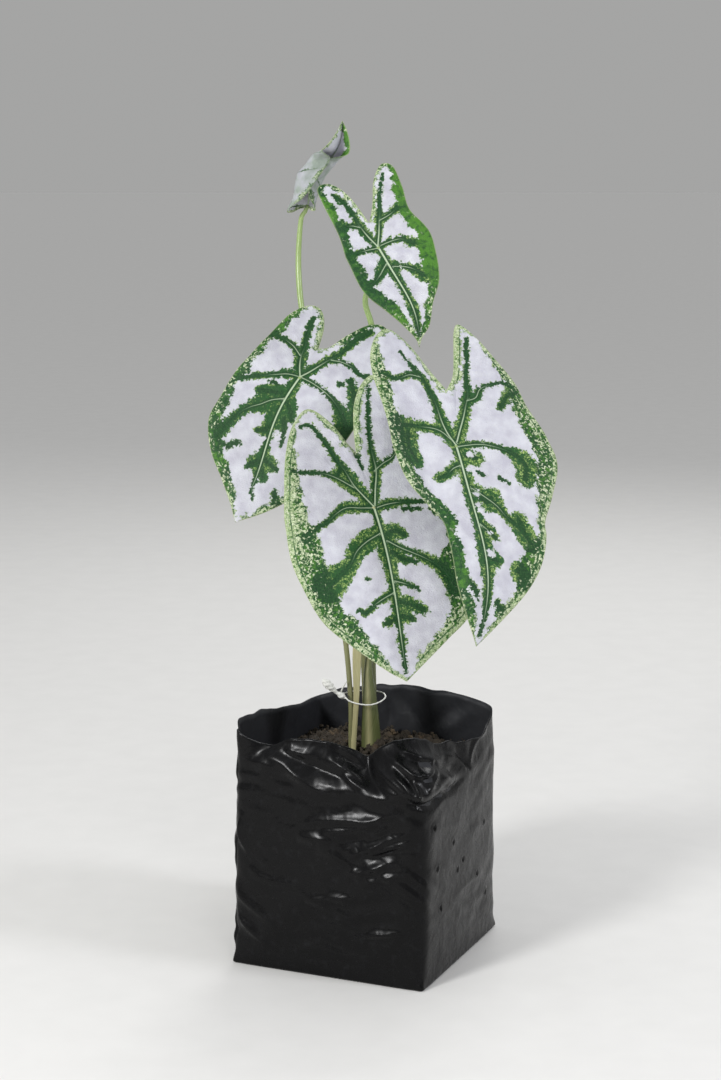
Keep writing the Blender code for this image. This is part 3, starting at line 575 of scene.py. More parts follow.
# %% Leaf finish: white fields
# slightly clouded, with a greyish green fringe next to the green
clouding = add(leaf, "MapRange", {0: patch, 1: 0.3, 2: 0.7})
lavender = add(leaf, "Mix", {0: clouding, 6: linear("#b7b6c1"), 7: linear("#cccdd4")}, 2, data_type="RGBA")
fringe = add(leaf, "MapRange", {0: edge, 1: 0.7, 2: 0.0, 4: 0.65})
white = add(leaf, "Mix", {0: fringe, 6: lavender, 7: linear("#93a683")}, 2, data_type="RGBA")
print("leaf nodes with the white:", len(leaf.node_tree.nodes))

# %% Leaf finish: areoles
# the smallest fields between veinlets, each of one tint; a random value per cell picks it
LEAF_AREOLE, LEAF_BEND = 1.1, 1.5    # mm, size of the areoles and of the noise that bends their sides
bend = add(leaf, "TexNoise", {"Vector": where, "Scale": 1 / LEAF_BEND, "Detail": 1.0, "Roughness": 0.5}, 1)
bent = add(leaf, "VectorMath", {0: bend, 1: (2.4, 2.4, 0.0), 2: where}, operation="MULTIPLY_ADD")
cells = {"Vector": bent, "Scale": 1 / LEAF_AREOLE, "Randomness": 0.95}
areole_tint = add(leaf, "TexVoronoi", cells, 1)
areole_dice = add(leaf, "SeparateColor", {0: areole_tint})
areole_seam = add(leaf, "TexVoronoi", cells, 0, feature="DISTANCE_TO_EDGE")
in_cell = add(leaf, "MapRange", {0: areole_seam, 1: 0.02, 2: 0.14})
print("leaf nodes with the areoles:", len(leaf.node_tree.nodes))

# %% Leaf finish: how light the green along the veins is
# dark next to the vein; further out lighter areoles, more of them near the white and in a sunny patch, where
# the extra light green is painted light
sun_share = add(leaf, "Math", {0: sun, 1: 0.26}, operation="MULTIPLY")
sun_level = add(leaf, "Math", {0: cloud, 1: sun_share}, operation="ADD")
sunny = add(leaf, "MapRange", {0: sun_level, 1: 0.50, 2: 0.62})
core_gap = add(leaf, "Math", {0: from_vein, 1: push_of((streak, 4.0))}, operation="ADD")
off_core = add(leaf, "MapRange", {0: core_gap, 1: 1.0, 2: 2.0}, interpolation_type="SMOOTHSTEP")
edge_near = add(leaf, "MapRange", {0: halo_edge, 1: -2.2, 2: 0.0, 4: 0.32})
cell_place = add(leaf, "Math", {0: areole_dice, 1: edge_near}, operation="ADD")
sun_push = add(leaf, "Math", {0: sunny, 1: 0.5}, operation="MULTIPLY")
cell_push = add(leaf, "Math", {0: sun_push, 1: push_of((tooth, 1.2))}, operation="ADD")
cell_level = add(leaf, "Math", {0: cell_place, 1: cell_push}, operation="ADD")
cell_light = add(leaf, "MapRange", {0: cell_level, 1: 0.78, 2: 1.30})
print("leaf nodes with the levels of green:", len(leaf.node_tree.nodes))

# %% Leaf finish: green along the veins
# a mosaic of light areoles in a dark net, crossed by dark streaks, round a dark core
fleck_light = add(leaf, "MapRange", {0: fleck, 1: 0.38, 2: 0.62})
gold = add(leaf, "Mix", {0: fleck_light, 6: linear("#6c9440"), 7: linear("#b4c97c")}, 2, data_type="RGBA")
celled = add(leaf, "Mix", {0: cell_light, 6: linear("#2a5c2a"), 7: gold}, 2, data_type="RGBA")
netted = add(leaf, "Mix", {0: in_cell, 6: linear("#214a25"), 7: celled}, 2, data_type="RGBA")
streak_dark = add(leaf, "MapRange", {0: streak, 1: 0.46, 2: 0.56, 4: 0.6})
streaked = add(leaf, "Mix", {0: streak_dark, 6: netted, 7: linear("#254d25")}, 2, data_type="RGBA")
dark_level = add(leaf, "MapRange", {0: fleck, 1: 0.3, 2: 0.75})
dark = add(leaf, "Mix", {0: dark_level, 6: linear("#0f311a"), 7: linear("#2a5729")}, 2, data_type="RGBA")
vein_green = add(leaf, "Mix", {0: off_core, 6: dark, 7: streaked}, 2, data_type="RGBA")
print("leaf nodes with the green along the veins:", len(leaf.node_tree.nodes))

# %% Leaf finish: cream in the green margin
# an areole is cream where its random value passes the cut. The cut is low where the margin holds much
# cream, and it falls towards the rim. A margin with hardly any cream keeps its flecks rare: the noise
# and the rim count for less there.
fleck_share = add(leaf, "MapRange", {0: cream, 1: 0.0, 2: 0.3, 3: 0.25, 4: 1.0})
plain = add(leaf, "MapRange", {0: cream, 1: 0.0, 2: 0.3, 3: 1.0, 4: 0.0})
rim_share = add(leaf, "MapRange", {0: rim_gap, 1: 1.2, 2: 9.0, 3: -0.32, 4: 0.24})
inward = add(leaf, "Math", {0: rim_share, 1: fleck_share}, operation="MULTIPLY")
vein_less = add(leaf, "Math", {0: in_vein, 1: 0.34}, operation="MULTIPLY")
less = add(leaf, "Math", {0: inward, 1: vein_less}, operation="ADD")
plain_less = add(leaf, "Math", {0: plain, 1: 0.15}, operation="MULTIPLY")
rarer = add(leaf, "Math", {0: less, 1: plain_less}, operation="ADD")
not_cream = add(leaf, "Math", {0: 1.0, 1: cream}, operation="SUBTRACT")
cut = add(leaf, "Math", {0: not_cream, 1: rarer}, operation="ADD")
cut_push = add(leaf, "Math", {0: push_of((fleck, 0.8), (tooth, 2.0)), 1: fleck_share}, operation="MULTIPLY")
pushed_cut = add(leaf, "Math", {0: cut_push, 1: cut}, operation="ADD")
above_cut = add(leaf, "Math", {0: areole_dice, 1: pushed_cut}, operation="SUBTRACT")
is_cream = add(leaf, "MapRange", {0: above_cut, 1: -0.10, 2: 0.12})
net_share = add(leaf, "MapRange", {0: in_cell, 3: 0.35, 4: 1.0})
cream_on = add(leaf, "Math", {0: is_cream, 1: net_share}, operation="MULTIPLY")
print("leaf nodes with the cream:", len(leaf.node_tree.nodes))

# %% Leaf finish: green margin
# painted light: in a sunny patch the plain margin turns a lighter, yellower green
bright_share = add(leaf, "Math", {0: sunny, 1: plain}, operation="MULTIPLY")
bright_push = add(leaf, "Math", {0: bright_share, 1: 0.17}, operation="MULTIPLY")
bright_level = add(leaf, "Math", {0: tooth, 1: bright_push}, operation="ADD")
bright_on = add(leaf, "MapRange", {0: bright_level, 1: 0.47, 2: 0.68})
leafy = add(leaf, "Mix", {0: sunny, 6: linear("#3a6a2a"), 7: linear("#4a7c29")}, 2, data_type="RGBA")
margin_green = add(leaf, "Mix", {0: bright_on, 6: linear("#1d4622"), 7: leafy}, 2, data_type="RGBA")
vein_stays = add(leaf, "MapRange", {0: plain, 1: 0.3, 2: 1.0, 3: 1.0, 4: 0.3})
vein_there = add(leaf, "Math", {0: in_vein, 1: vein_stays}, operation="MULTIPLY")
margin_dark = add(leaf, "Mix", {0: vein_there, 6: margin_green, 7: dark}, 2, data_type="RGBA")
creams = add(leaf, "Mix", {0: areole_dice, 6: linear("#9cb47a"), 7: linear("#ccd5b4")}, 2, data_type="RGBA")
margin_tint = add(leaf, "Mix", {0: cream_on, 6: margin_dark, 7: creams}, 2, data_type="RGBA")
green = add(leaf, "Mix", {0: in_band, 6: vein_green, 7: margin_tint}, 2, data_type="RGBA")
painted = add(leaf, "Mix", {0: is_green, 6: white, 7: green}, 2, data_type="RGBA")
print("leaf nodes with the margin:", len(leaf.node_tree.nodes))

# %% Leaf finish: vein lines and rim
# the dark collecting vein runs inside the margin and is lost in the open white; the vein lines are pale near
# the joint and dark further out; the rim is a hairline of cream
COLLECT_AT = 3.3    # mm from the rim
collect_side = add(leaf, "Math", {0: rim_gap, 1: COLLECT_AT}, operation="SUBTRACT")
collect_gap = add(leaf, "Math", {0: collect_side}, operation="ABSOLUTE")
collect_push = add(leaf, "Math", {0: collect_gap, 1: push_of((patch, 1.2))}, operation="ADD")
collect_line = add(leaf, "MapRange", {0: collect_push, 1: 0.42, 2: 0.15})
collect_near = add(leaf, "MapRange", {0: band_edge, 1: 0.6, 2: -0.6, 4: 0.85})
collect_some = add(leaf, "Math", {0: collect_line, 1: collect_near}, operation="MULTIPLY")
collect_on = add(leaf, "Math", {0: collect_some, 1: vein_stays}, operation="MULTIPLY")
collected = add(leaf, "Mix", {0: collect_on, 6: painted, 7: linear("#27532a")}, 2, data_type="RGBA")
line_side = add(leaf, "Math", {0: across}, operation="ABSOLUTE")
line_core = add(leaf, "MapRange", {0: line_side, 1: 1.3, 2: 0.7})
line_near = add(leaf, "MapRange", {0: apart, 1: 3.4, 2: 2.4})
line_on = add(leaf, "Math", {0: line_core, 1: line_near}, operation="MULTIPLY")
line_tint = add(leaf, "Mix", {0: pale, 6: linear("#1d4a24"), 7: linear("#b4c6a6")}, 2, data_type="RGBA")
veined = add(leaf, "Mix", {0: line_on, 6: collected, 7: line_tint}, 2, data_type="RGBA")
rim_on = add(leaf, "MapRange", {0: rim_gap, 1: 0.6, 2: 0.2, 4: 0.45})
rimmed = add(leaf, "Mix", {0: rim_on, 6: veined, 7: linear("#a9b588")}, 2, data_type="RGBA")
print("leaf nodes with the lines:", len(leaf.node_tree.nodes))

# %% Leaf finish: under face, relief and gloss
# the under face is a duller grey green in soft patches, its own tint made darker as painted shade; the
# areoles swell a little on both faces
under_share = add(leaf, "MapRange", {0: patch, 1: 0.36, 2: 0.64, 3: 0.22, 4: 0.78})
under_tint_and_shade_on = add(leaf, "Math", {0: under, 1: under_share}, operation="MULTIPLY")
leaf_tint = add(leaf, "Mix", {0: under_tint_and_shade_on, 6: rimmed, 7: linear("#7b8b78")}, 2, data_type="RGBA")
swell = add(leaf, "MapRange", {0: areole_seam, 1: 0.0, 2: 0.28}, interpolation_type="SMOOTHSTEP")
leaf_bump = add(leaf, "Bump", {"Height": swell, "Strength": 0.3, "Distance": 0.0006})
gloss = add(leaf, "MapRange", {0: tooth, 1: 0.3, 2: 0.7, 3: 0.40, 4: 0.54})
plug(leaf, leaf_skin, {"Base Color": leaf_tint, "Roughness": gloss, "Normal": leaf_bump, "IOR": 1.45,
                       "Specular IOR Level": 0.28, "Subsurface Weight": 0.15,
                       "Subsurface Radius": (1.0, 1.0, 0.8), "Subsurface Scale": 0.0012})
print("leaf finish nodes:", len(leaf.node_tree.nodes))

# %% [markdown]
# ## The leaf blades: meshes
# Rings of the outline about the joint make the grid, so its spokes run out along the veins. The
# upper face gets close rings, because the painting is read there; the under face needs fewer. The
# two faces meet at a thin rounded rim.

# %% Build the blades
BLADE_HALF = 0.34    # mm, half of the blade's thickness
SWELL_HIGH, SWELL_WIDE = 1.1, 6.5    # mm, how high the tissue swells and how far from a vein
RIB_HIGH, GROOVE_DEEP = 0.9, 0.5    # mm
PLACE_STEP = 60.0    # mm between the patterns of two leaves
# spokes, rings of the upper face, rings of the under face
BLADE_GRID = {"front": (560, 100, 40), "right": (560, 100, 40), "left": (500, 88, 35), "upper": (400, 80, 32),
              "top": (300, 54, 21)}


def normals(spec, a, b, f, run):
    """The blade's middle surface, and its unit normal from two steps of half a millimetre on it."""
    mid, step = blade_form(spec, a, b, f, run), 0.5
    out = np.cross(blade_form(spec, a, b + step, f, run) - mid, blade_form(spec, a + step, b, f, run) - mid)
    return mid, out / np.linalg.norm(out, axis=1)[:, None]


def build_leaf(key, number):
    """Points f * rim for rings f from 0 to 1 on the upper face and back to 0 on the under face, lifted by
    half the thickness along the local normal; grooves and swelling move both faces, ribs only the lower."""
    spec, (around, rings, under_rings) = LEAVES[key], BLADE_GRID[key]
    rim = np.vstack([even(curve(spec[side], 24), around // 2 + 1)[:-1] for side in ("left", "right")])
    top = np.linspace(0, 1, rings + 1)[1:] ** 0.92
    low = np.linspace(1, 0, under_rings + 1)[:-1]
    f = np.r_[0, np.repeat(top, around), np.repeat(low, around), 0]
    k = np.r_[0, np.tile(np.arange(around), rings + under_rings), 0]
    under = np.r_[np.zeros(1 + rings * around), np.ones(under_rings * around + 1)]
    a, b = (rim[k] * f[:, None]).T
    halo, line, groove, ribs, streak = vein_fields(spec, a, b, HALO_GROW[key])
    rim_gap, band, cream = margin_fields(spec, a, b, rim)
    mid, out = normals(spec, a, b, f, k / around)
    swelling = SWELL_HIGH * (1 - np.exp(-(ribs / SWELL_WIDE) ** 2)) * (1 - f ** 8)
    rib = RIB_HIGH * groove * under * (1 - f ** 6)
    half = BLADE_HALF * np.sqrt(np.clip(1 - f ** 40, 0.04, 1))
    lift = swelling - GROOVE_DEEP * groove * (1 - f ** 6) + np.where(under > 0, -half - rib, half)
    points = mid + out * lift[:, None]
    left_sun, right_sun = spec["sun"]
    sun_at = left_sun + (right_sun - left_sun) * (0.5 + 0.5 * np.tanh(a / 6))
    fields = dict(leaf_place=np.column_stack([a, b, np.full(len(a), PLACE_STEP * number)]),
                  leaf_field=np.column_stack([halo, band, rim_gap]), leaf_line=line,
                  leaf_tone=np.column_stack([cream, sun_at, under]), leaf_streak=streak)
    piece("leaf_" + key, points, *closed_grid(len(points), around), leaf, "variegated_leaf", "blade_" + key,
          fields)


for number, key in enumerate(LEAVES):
    build_leaf(key, number)

# %% [markdown]
# ## The stalks
# A caladium stalk is a juicy tapering rod, round where it stands free and wrapped in an open sheath
# near the tuber. It could be a bevelled curve, but the sheath needs a profile that changes along
# the way, so each stalk is a loop carried along a path with its own width, depth and groove.

# %% Stalk tables
# places along the path: x, y, z, half width, half depth
STALKS = {
    "front": [(-8.5, -3.5, 109.4, 1.7, 1.6), (-8.2, -3.8, 128, 1.6, 1.5), (-6.6, -4.2, 155, 1.7, 1.3),
              (-6.1, -5.0, 184, 2.7, 1.3), (-5, -9, 205, 2.4, 1.4), (-1, -24, 246, 1.8, 1.6)],
    "right": [(2.4, -1, 109.4, 5.2, 3.8), (2.4, -1, 130, 5.9, 3.9), (1.8, -0.6, 152, 4.6, 3.3),
              (1.1, 0.5, 180, 2.2, 2.1), (8, 1, 212, 2.0, 2.0), (30, -6, 247, 1.9, 1.9),
              (52, -20, 272, 1.8, 1.8), (59, -35, 288, 1.7, 1.7)],
    "left": [(-9.0, 3.0, 109.4, 1.9, 1.9), (-9.6, 2.5, 130, 1.8, 1.8), (-10.0, 2, 155, 1.6, 1.6),
             (-13.3, 3, 193, 1.6, 1.6), (-22, 11, 250, 1.6, 1.6), (-36, 21, 305, 1.6, 1.6)],
    "top": [(-1, 7, 109.4, 2.1, 2.1), (-1, 7, 155, 2.0, 2.0), (-4, 10, 200, 1.9, 1.9),
            (-13, 21, 258, 1.9, 1.9), (-28, 40, 325, 1.8, 1.8), (-38.5, 52, 378, 1.8, 1.8),
            (-42, 61, 411, 1.8, 1.8)],
    "upper": [(4.2, 7, 109.4, 2.1, 2.1), (3.8, 7, 155, 2.0, 2.0), (3, 10, 215, 1.9, 1.9),
              (5, 20, 290, 1.9, 1.9), (5.5, 32, 345, 1.8, 1.8), (3, 38, 377, 1.8, 1.8),
              (-1, 35, 396, 1.7, 1.7)],
}
# share of cream in the stalk, and the heights between which its sheath stands open (mm)
STALK_LOOK = {"front": (0.8, 150, 240), "right": (0.1, 128, 176), "left": (0.35, 0, 1), "top": (0.3, 0, 1),
              "upper": (0.15, 0, 1)}
STALK_ENDS = ((12, 1.5), (5, 1.35), (0, 1.15))    # mm before the joint, half width there
print("stalks:", {key: str(len(path)) + " places" for key, path in STALKS.items()})

# %% Stalk finish
# Fresh stalk tissue under a smooth skin: soft gloss, with fine streaks running along it.
stalk, stalk_skin = new_finish("fresh leaf stalk, smooth skin")
stalk_at = add(stalk, "Attribute", {}, 1, attribute_name="stalk_place")
round_mm, along_mm, creamy = add(stalk, "SeparateXYZ", {0: stalk_at}, slice(0, 3))
slow_mm = add(stalk, "Math", {0: along_mm, 1: 0.05}, operation="MULTIPLY")
fibre_at = add(stalk, "CombineXYZ", {0: round_mm, 1: slow_mm, 2: creamy})
fibre = add(stalk, "TexNoise", {"Vector": fibre_at, "Scale": 1 / 0.7, "Detail": 2.0})
height_on = add(stalk, "MapRange", {0: along_mm, 1: 150.0, 2: 300.0}, interpolation_type="SMOOTHSTEP")
green_low = add(stalk, "Mix", {0: fibre, 6: linear("#16220d"), 7: linear("#465527")}, 2, data_type="RGBA")
green_high = add(stalk, "Mix", {0: fibre, 6: linear("#6f8f4b"), 7: linear("#a9bf83")}, 2, data_type="RGBA")
stalk_green = add(stalk, "Mix", {0: height_on, 6: green_low, 7: green_high}, 2, data_type="RGBA")
stalk_cream = add(stalk, "Mix", {0: fibre, 6: linear("#a19a6c"), 7: linear("#c9c298")}, 2, data_type="RGBA")
# creamy is the stalk's own share of cream, plus the painted highlight down the front of the main sheath
stalk_tint = add(stalk, "Mix", {0: creamy, 6: stalk_green, 7: stalk_cream}, 2, data_type="RGBA")
stalk_bump = add(stalk, "Bump", {"Height": fibre, "Strength": 0.25, "Distance": 0.0003})
plug(stalk, stalk_skin, {"Base Color": stalk_tint, "Roughness": 0.26, "Normal": stalk_bump, "IOR": 1.42})
print("stalk finish nodes:", len(stalk.node_tree.nodes))


# %% Rods along a path
def rod(path, rounds, around, reference, start_way=None, end_way=None):
    """An evenly spaced line of loops: side = reference x tangent, deep = tangent x side. Gives the line with
    its half widths and depths, the side and deep directions, the angles of a loop, and the length along."""
    line = even(curve(path, 8), rounds)
    tangent = np.gradient(line[:, :3], axis=0)
    for place, way in ((0, start_way), (-1, end_way)):
        if way is not None:
            tangent[place] = way
    tangent /= np.linalg.norm(tangent, axis=1)[:, None]
    side = np.cross(np.array(reference), tangent)
    side /= np.linalg.norm(side, axis=1)[:, None]
    return line, side, np.cross(tangent, side), np.arange(around) * 2 * np.pi / around, run_along(line[:, :3])


def rod_points(line, side, deep, x, y):
    """Loops at line + x * side + y * deep, between two poles at the ends of the line."""
    loops = line[:, None, :3] + x[..., None] * side[:, None] + y[..., None] * deep[:, None]
    return np.vstack([line[0, :3], loops.reshape(-1, 3), line[-1, :3]])


def bell(angle, middle, wide):
    """1 at the middle angle, falling to 1 / e at `wide` radians to either side, all round the circle."""
    return np.exp(-((np.angle(np.exp(1j * (angle - middle))) / wide) ** 2))


print("a bell of 0.75 rad at 45 degrees:", round(float(bell(np.pi / 4, 0, 0.75)), 2))


# %% Build the stalks
STALK_ROUNDS, STALK_AROUND = 150, 24
FRONT = -np.pi / 2    # the angle of a loop that looks along -Y


def build_stalk(key):
    """Half width * cos and half depth * sin about the path. Where the sheath is open, the front is pressed in
    by 0.62 of the depth over about 45 degrees to each side; the main sheath has a paler painted highlight
    down it."""
    spec, zero = LEAVES[key], np.zeros(1)
    joint = blade_form(spec, zero, zero, zero, zero)[0]
    _, along, facing = blade_axes(spec)
    lean = np.radians(spec["lean"])
    way = facing * np.cos(lean) + along * np.sin(lean)
    ends = [(*(joint - facing * 0.1 - way * d), r, r) for d, r in STALK_ENDS]
    path = STALKS[key] + ends
    line, side, deep, angle, _ = rod(path, STALK_ROUNDS, STALK_AROUND, (0, 1, 0), (0, 0, 1), way)
    creamy, low, high = STALK_LOOK[key]
    z = line[:, 2:3]
    opening = 1 / (1 + np.exp(-(z - low) / 4)) * 1 / (1 + np.exp((z - high) / 9))
    press = 1 - 0.62 * opening * bell(angle, FRONT, 0.75)[None, :]
    x = np.cos(angle) * line[:, 3:4]
    y = np.sin(angle) * line[:, 4:5] * press
    points = rod_points(line, side, deep, x, y)
    # painted highlight: a paler cream band down the front of the main sheath, where the light catches it
    painted_highlight = 0.5 * bell(angle, FRONT - 0.25, 0.32)[None, :] * (key == "right") / (1 + np.exp((z - 190) / 8))
    place = np.stack([np.broadcast_to(angle, x.shape) * line[:, 3:4], np.broadcast_to(z, x.shape),
                      np.full(x.shape, creamy) * (0.35 + 0.65 * (z < 330)) + painted_highlight], -1).reshape(-1, 3)
    place = np.vstack([place[:1], place, place[-1:]])
    piece("stalk_" + key, points, *closed_grid(len(points), STALK_AROUND), stalk, "petiole_flesh",
          "petiole_" + key, dict(stalk_place=place))


for key in STALKS:
    build_stalk(key)

# %% [markdown]
# ## The grow bag
# Blown black polyethylene film, a tenth of a millimetre thick, with a glossy roll-smooth skin. The
# filled bag stands as a square block, but the empty collar above the soil folds inward and crumples.
# A cloth simulation would crumple it in ways of its own; here each fold that matters is a short path
# on the unrolled film with a height and a width, and turned |sin| waves and short wrinkles add the
# slack between them. The same formula gives the outer and the inner face, so the wall stays even.
# It is drawn 0.7 mm thick, so that the rim can be seen.

# %% Bag tables
BAG_SIDE, BAG_TURN, BAG_BULGE, BAG_WALL = 125.0, -23.3, 2.0, 0.7    # mm, degrees, mm, mm
SOIL_TOP, HOLE_AT, HOLE_HALF = 121.0, (-1.0, 2.5), (13.0, 11.5)    # mm
TUBER_TOP, TUBER_HALF = 109.0, (17.0, 15.0, 11.0)    # mm
# place round the perimeter (0 front left corner, then 1, 2, 3), lean inward, rim height, height where the
# lean starts
BAG_RIM = [
    (0.00, 0, 145, 125), (0.07, 1, 141, 125), (0.16, 7, 137, 128), (0.30, 5, 143, 122),
    (0.50, 7, 143, 118), (0.63, 11, 139, 116), (0.72, 14, 134, 114), (0.79, 14, 141, 114),
    (0.90, 15, 146, 112), (1.00, 17, 146, 111), (1.15, 14, 145, 112), (1.35, 9, 138, 112),
    (1.60, 3, 133, 115), (1.75, 1, 131, 120), (1.90, 0, 137, 120), (2.00, -1, 143, 120),
    (2.15, 2, 148, 120), (2.45, 1, 151, 120), (2.75, 2, 148, 120), (2.93, 3, 142, 120),
    (3.00, 1, 139, 120), (3.20, 3, 139, 120), (3.45, 4, 144, 120), (3.75, 2, 149, 120),
    (3.92, 0, 150, 120),
]
# folds on the film: height (minus is a valley), half width, path of (place, height above the floor)
FOLDS = [
    (2.4, 4.0, [(0.13, 134), (0.22, 131), (0.3, 127), (0.37, 121), (0.44, 116), (0.53, 113)]),
    (-2.0, 3.2, [(0.24, 135), (0.34, 131), (0.44, 127), (0.54, 124), (0.62, 121)]),
    (1.4, 2.2, [(0.58, 125), (0.65, 121), (0.72, 118)]),
    (1.2, 2.0, [(0.25, 137), (0.34, 135), (0.42, 134)]),
    (1.2, 1.8, [(0.55, 140), (0.61, 137), (0.66, 134), (0.71, 129)]),
    (-1.2, 1.6, [(0.52, 137), (0.6, 133), (0.68, 128)]),
    (1.0, 1.5, [(0.5, 133), (0.58, 129), (0.66, 125), (0.7, 122)]),
    (-1.3, 2.4, [(0.72, 134), (0.73, 128), (0.76, 121), (0.82, 115)]),
    (1.4, 1.8, [(0.76, 131), (0.84, 124), (0.92, 116)]),
    (-2.2, 2.0, [(0.78, 128), (0.86, 120), (0.95, 113), (1.1, 111), (1.35, 112), (1.55, 114)]),
    (2.6, 3.0, [(0.83, 138), (0.9, 134), (0.97, 130), (1.05, 128), (1.15, 129)]),
    (-1.9, 2.2, [(0.86, 133), (0.93, 126), (0.98, 118)]),
    (2.5, 2.4, [(0.95, 126), (0.975, 120), (0.97, 113)]),
    (2.1, 2.2, [(0.9, 142), (1.02, 139), (1.15, 135), (1.3, 131)]),
    (1.9, 2.0, [(0.84, 129), (0.9, 124), (0.94, 118)]), (2.0, 2.4, [(1.04, 121), (1.12, 123), (1.2, 128)]),
    (2.0, 2.0, [(1.02, 134), (1.07, 129), (1.14, 130), (1.19, 134)]),
    (-1.6, 2.0, [(1.0, 130), (1.06, 125), (1.15, 127)]),
    (-1.2, 1.8, [(0.95, 136), (1.08, 133), (1.22, 131)]),
    (1.5, 2.6, [(1.18, 127), (1.25, 123), (1.33, 119), (1.42, 117)]),
    (-1.3, 2.0, [(1.1, 124), (1.2, 119), (1.3, 116)]),
    (1.2, 1.8, [(1.3, 133), (1.42, 129), (1.52, 122), (1.55, 116)]),
    (-1.8, 1.8, [(1.5, 130), (1.56, 122), (1.6, 115)]),
    (1.3, 1.6, [(1.6, 118), (1.64, 124), (1.72, 130), (1.85, 134)]),
    (1.7, 2.3, [(0.36, 92), (0.48, 97), (0.6, 99), (0.72, 100), (0.88, 107)]),
    (1.3, 1.9, [(0.48, 90), (0.62, 93), (0.78, 99)]), (1.6, 2.2, [(0.7, 89), (0.76, 93), (0.84, 98)]),
    (2.0, 2.1, [(0.62, 77), (0.7, 82), (0.82, 90), (0.95, 97)]),
    (1.6, 1.8, [(0.72, 79), (0.82, 85), (0.94, 91)]), (-1.6, 3.4, [(0.56, 84), (0.7, 89), (0.84, 98)]),
    (-1.2, 2.6, [(0.7, 84), (0.8, 89), (0.92, 97)]), (2.0, 2.2, [(0.6, 65), (0.7, 70), (0.84, 77)]),
    (1.3, 1.8, [(0.7, 62), (0.8, 67), (0.92, 72)]), (2.0, 4.0, [(0.36, 84), (0.46, 86), (0.55, 84)]),
    (-1.2, 2.8, [(0.66, 78), (0.78, 80), (0.92, 86)]), (1.7, 2.0, [(0.64, 27), (0.74, 31), (0.9, 35)]),
    (1.6, 3.0, [(0.4, 46), (0.52, 50), (0.66, 52)]), (1.2, 4.0, [(0.46, 80), (0.55, 77), (0.66, 70)]),
    (1.5, 3.2, [(0.03, 46), (0.12, 38), (0.24, 29)]), (1.5, 2.8, [(0.03, 32), (0.12, 22), (0.2, 16)]),
    (1.3, 3.2, [(0.06, 96), (0.05, 80), (0.12, 66)]), (1.2, 3.0, [(0.1, 62), (0.2, 56), (0.34, 55)]),
    (0.8, 3.5, [(1.1, 96), (1.3, 91), (1.5, 86)]), (0.8, 3.0, [(1.05, 72), (1.25, 68), (1.4, 60)]),
    (0.8, 3.4, [(1.55, 80), (1.72, 77), (1.9, 75)]), (0.8, 3.2, [(1.35, 44), (1.55, 47), (1.75, 46)]),
    (2.4, 3.0, [(2.56, 147), (2.5, 138), (2.42, 127)]), (2.2, 2.6, [(2.76, 145), (2.7, 135), (2.66, 124)]),
    (-2.2, 2.6, [(2.86, 141), (2.8, 131), (2.72, 122)]),
    (2.0, 4.0, [(2.16, 143), (2.28, 135), (2.36, 125)]), (-1.8, 3.0, [(2.1, 138), (2.22, 129), (2.3, 122)]),
    (2.0, 2.4, [(2.62, 140), (2.58, 131), (2.6, 124)]), (1.0, 3.5, [(2.1, 118), (2.35, 110), (2.7, 114)]),
    (1.0, 3.0, [(2.3, 84), (2.6, 78), (2.9, 86)]), (1.2, 3.2, [(3.1, 118), (3.4, 108), (3.7, 116)]),
    (0.9, 3.5, [(3.2, 70), (3.5, 64), (3.8, 72)]), (0.9, 3.0, [(2.2, 40), (2.5, 34), (2.8, 42)]),
    (0.9, 3.0, [(3.15, 34), (3.5, 28), (3.85, 38)]),
]
# small punched drain holes: place, height
DRAINS = [(1.12, 96), (1.35, 79), (1.75, 77), (1.15, 70), (1.47, 64), (1.40, 60), (1.65, 48), (1.20, 44),
          (1.80, 30), (3.25, 62), (3.50, 40), (3.75, 66), (2.30, 52), (2.60, 70), (2.75, 38)]
print("folds:", len(FOLDS), "drain holes:", len(DRAINS))


# %% Loose film
def turned(x, y, angle):
    """The place (x, y) turned counter-clockwise by the angle."""
    c, s = np.cos(angle), np.sin(angle)
    return x * c - y * s, x * s + y * c


def slack(u, z):
    """Loose film. Long waves: 0.6 - the rounded absolute value of the sine across a turned, slightly bent
    direction, 26 to 70 mm long. Short wrinkles: a sine 9 to 20 mm long across a nearly level direction, faded
    by a bell along it and across it. All are higher in the empty collar."""
    dice = np.random.default_rng(7)
    total = np.zeros_like(u)
    for _ in range(10):
        turn, length, high = dice.uniform(0, np.pi), dice.uniform(26, 70), dice.uniform(0.2, 0.6)
        bend, phase = dice.uniform(4, 10), dice.uniform(0, 6.3)
        way = u * np.cos(turn) + z * np.sin(turn) + bend * np.sin(z / 23 + u / 31 + phase)
        total += high * (0.6 - np.sqrt(np.sin(np.pi * way / length + phase) ** 2 + 0.05))
    round_way = 4 * BAG_SIDE
    for _ in range(64):
        turn, length, high = np.radians(dice.uniform(-34, 34)), dice.uniform(9, 20), dice.uniform(0.25, 0.75)
        along, across, phase = dice.uniform(14, 34), dice.uniform(6, 14), dice.uniform(0, 6.3)
        du = (u - dice.uniform(0, round_way) + round_way / 2) % round_way - round_way / 2
        p, q = turned(du, z - dice.uniform(6, 118), -turn)
        faded = high * np.sin(2 * np.pi * q / length + p / 18 + phase)
        total += faded * np.exp(-(p / along) ** 2 - (q / across) ** 2)
    return total * (0.75 + 0.25 / (1 + np.exp(-(z - 112) / 6)))


print("slack at three heights, mm:", slack(np.full(3, 60.0), np.array([20.0, 70.0, 130.0])).round(2))


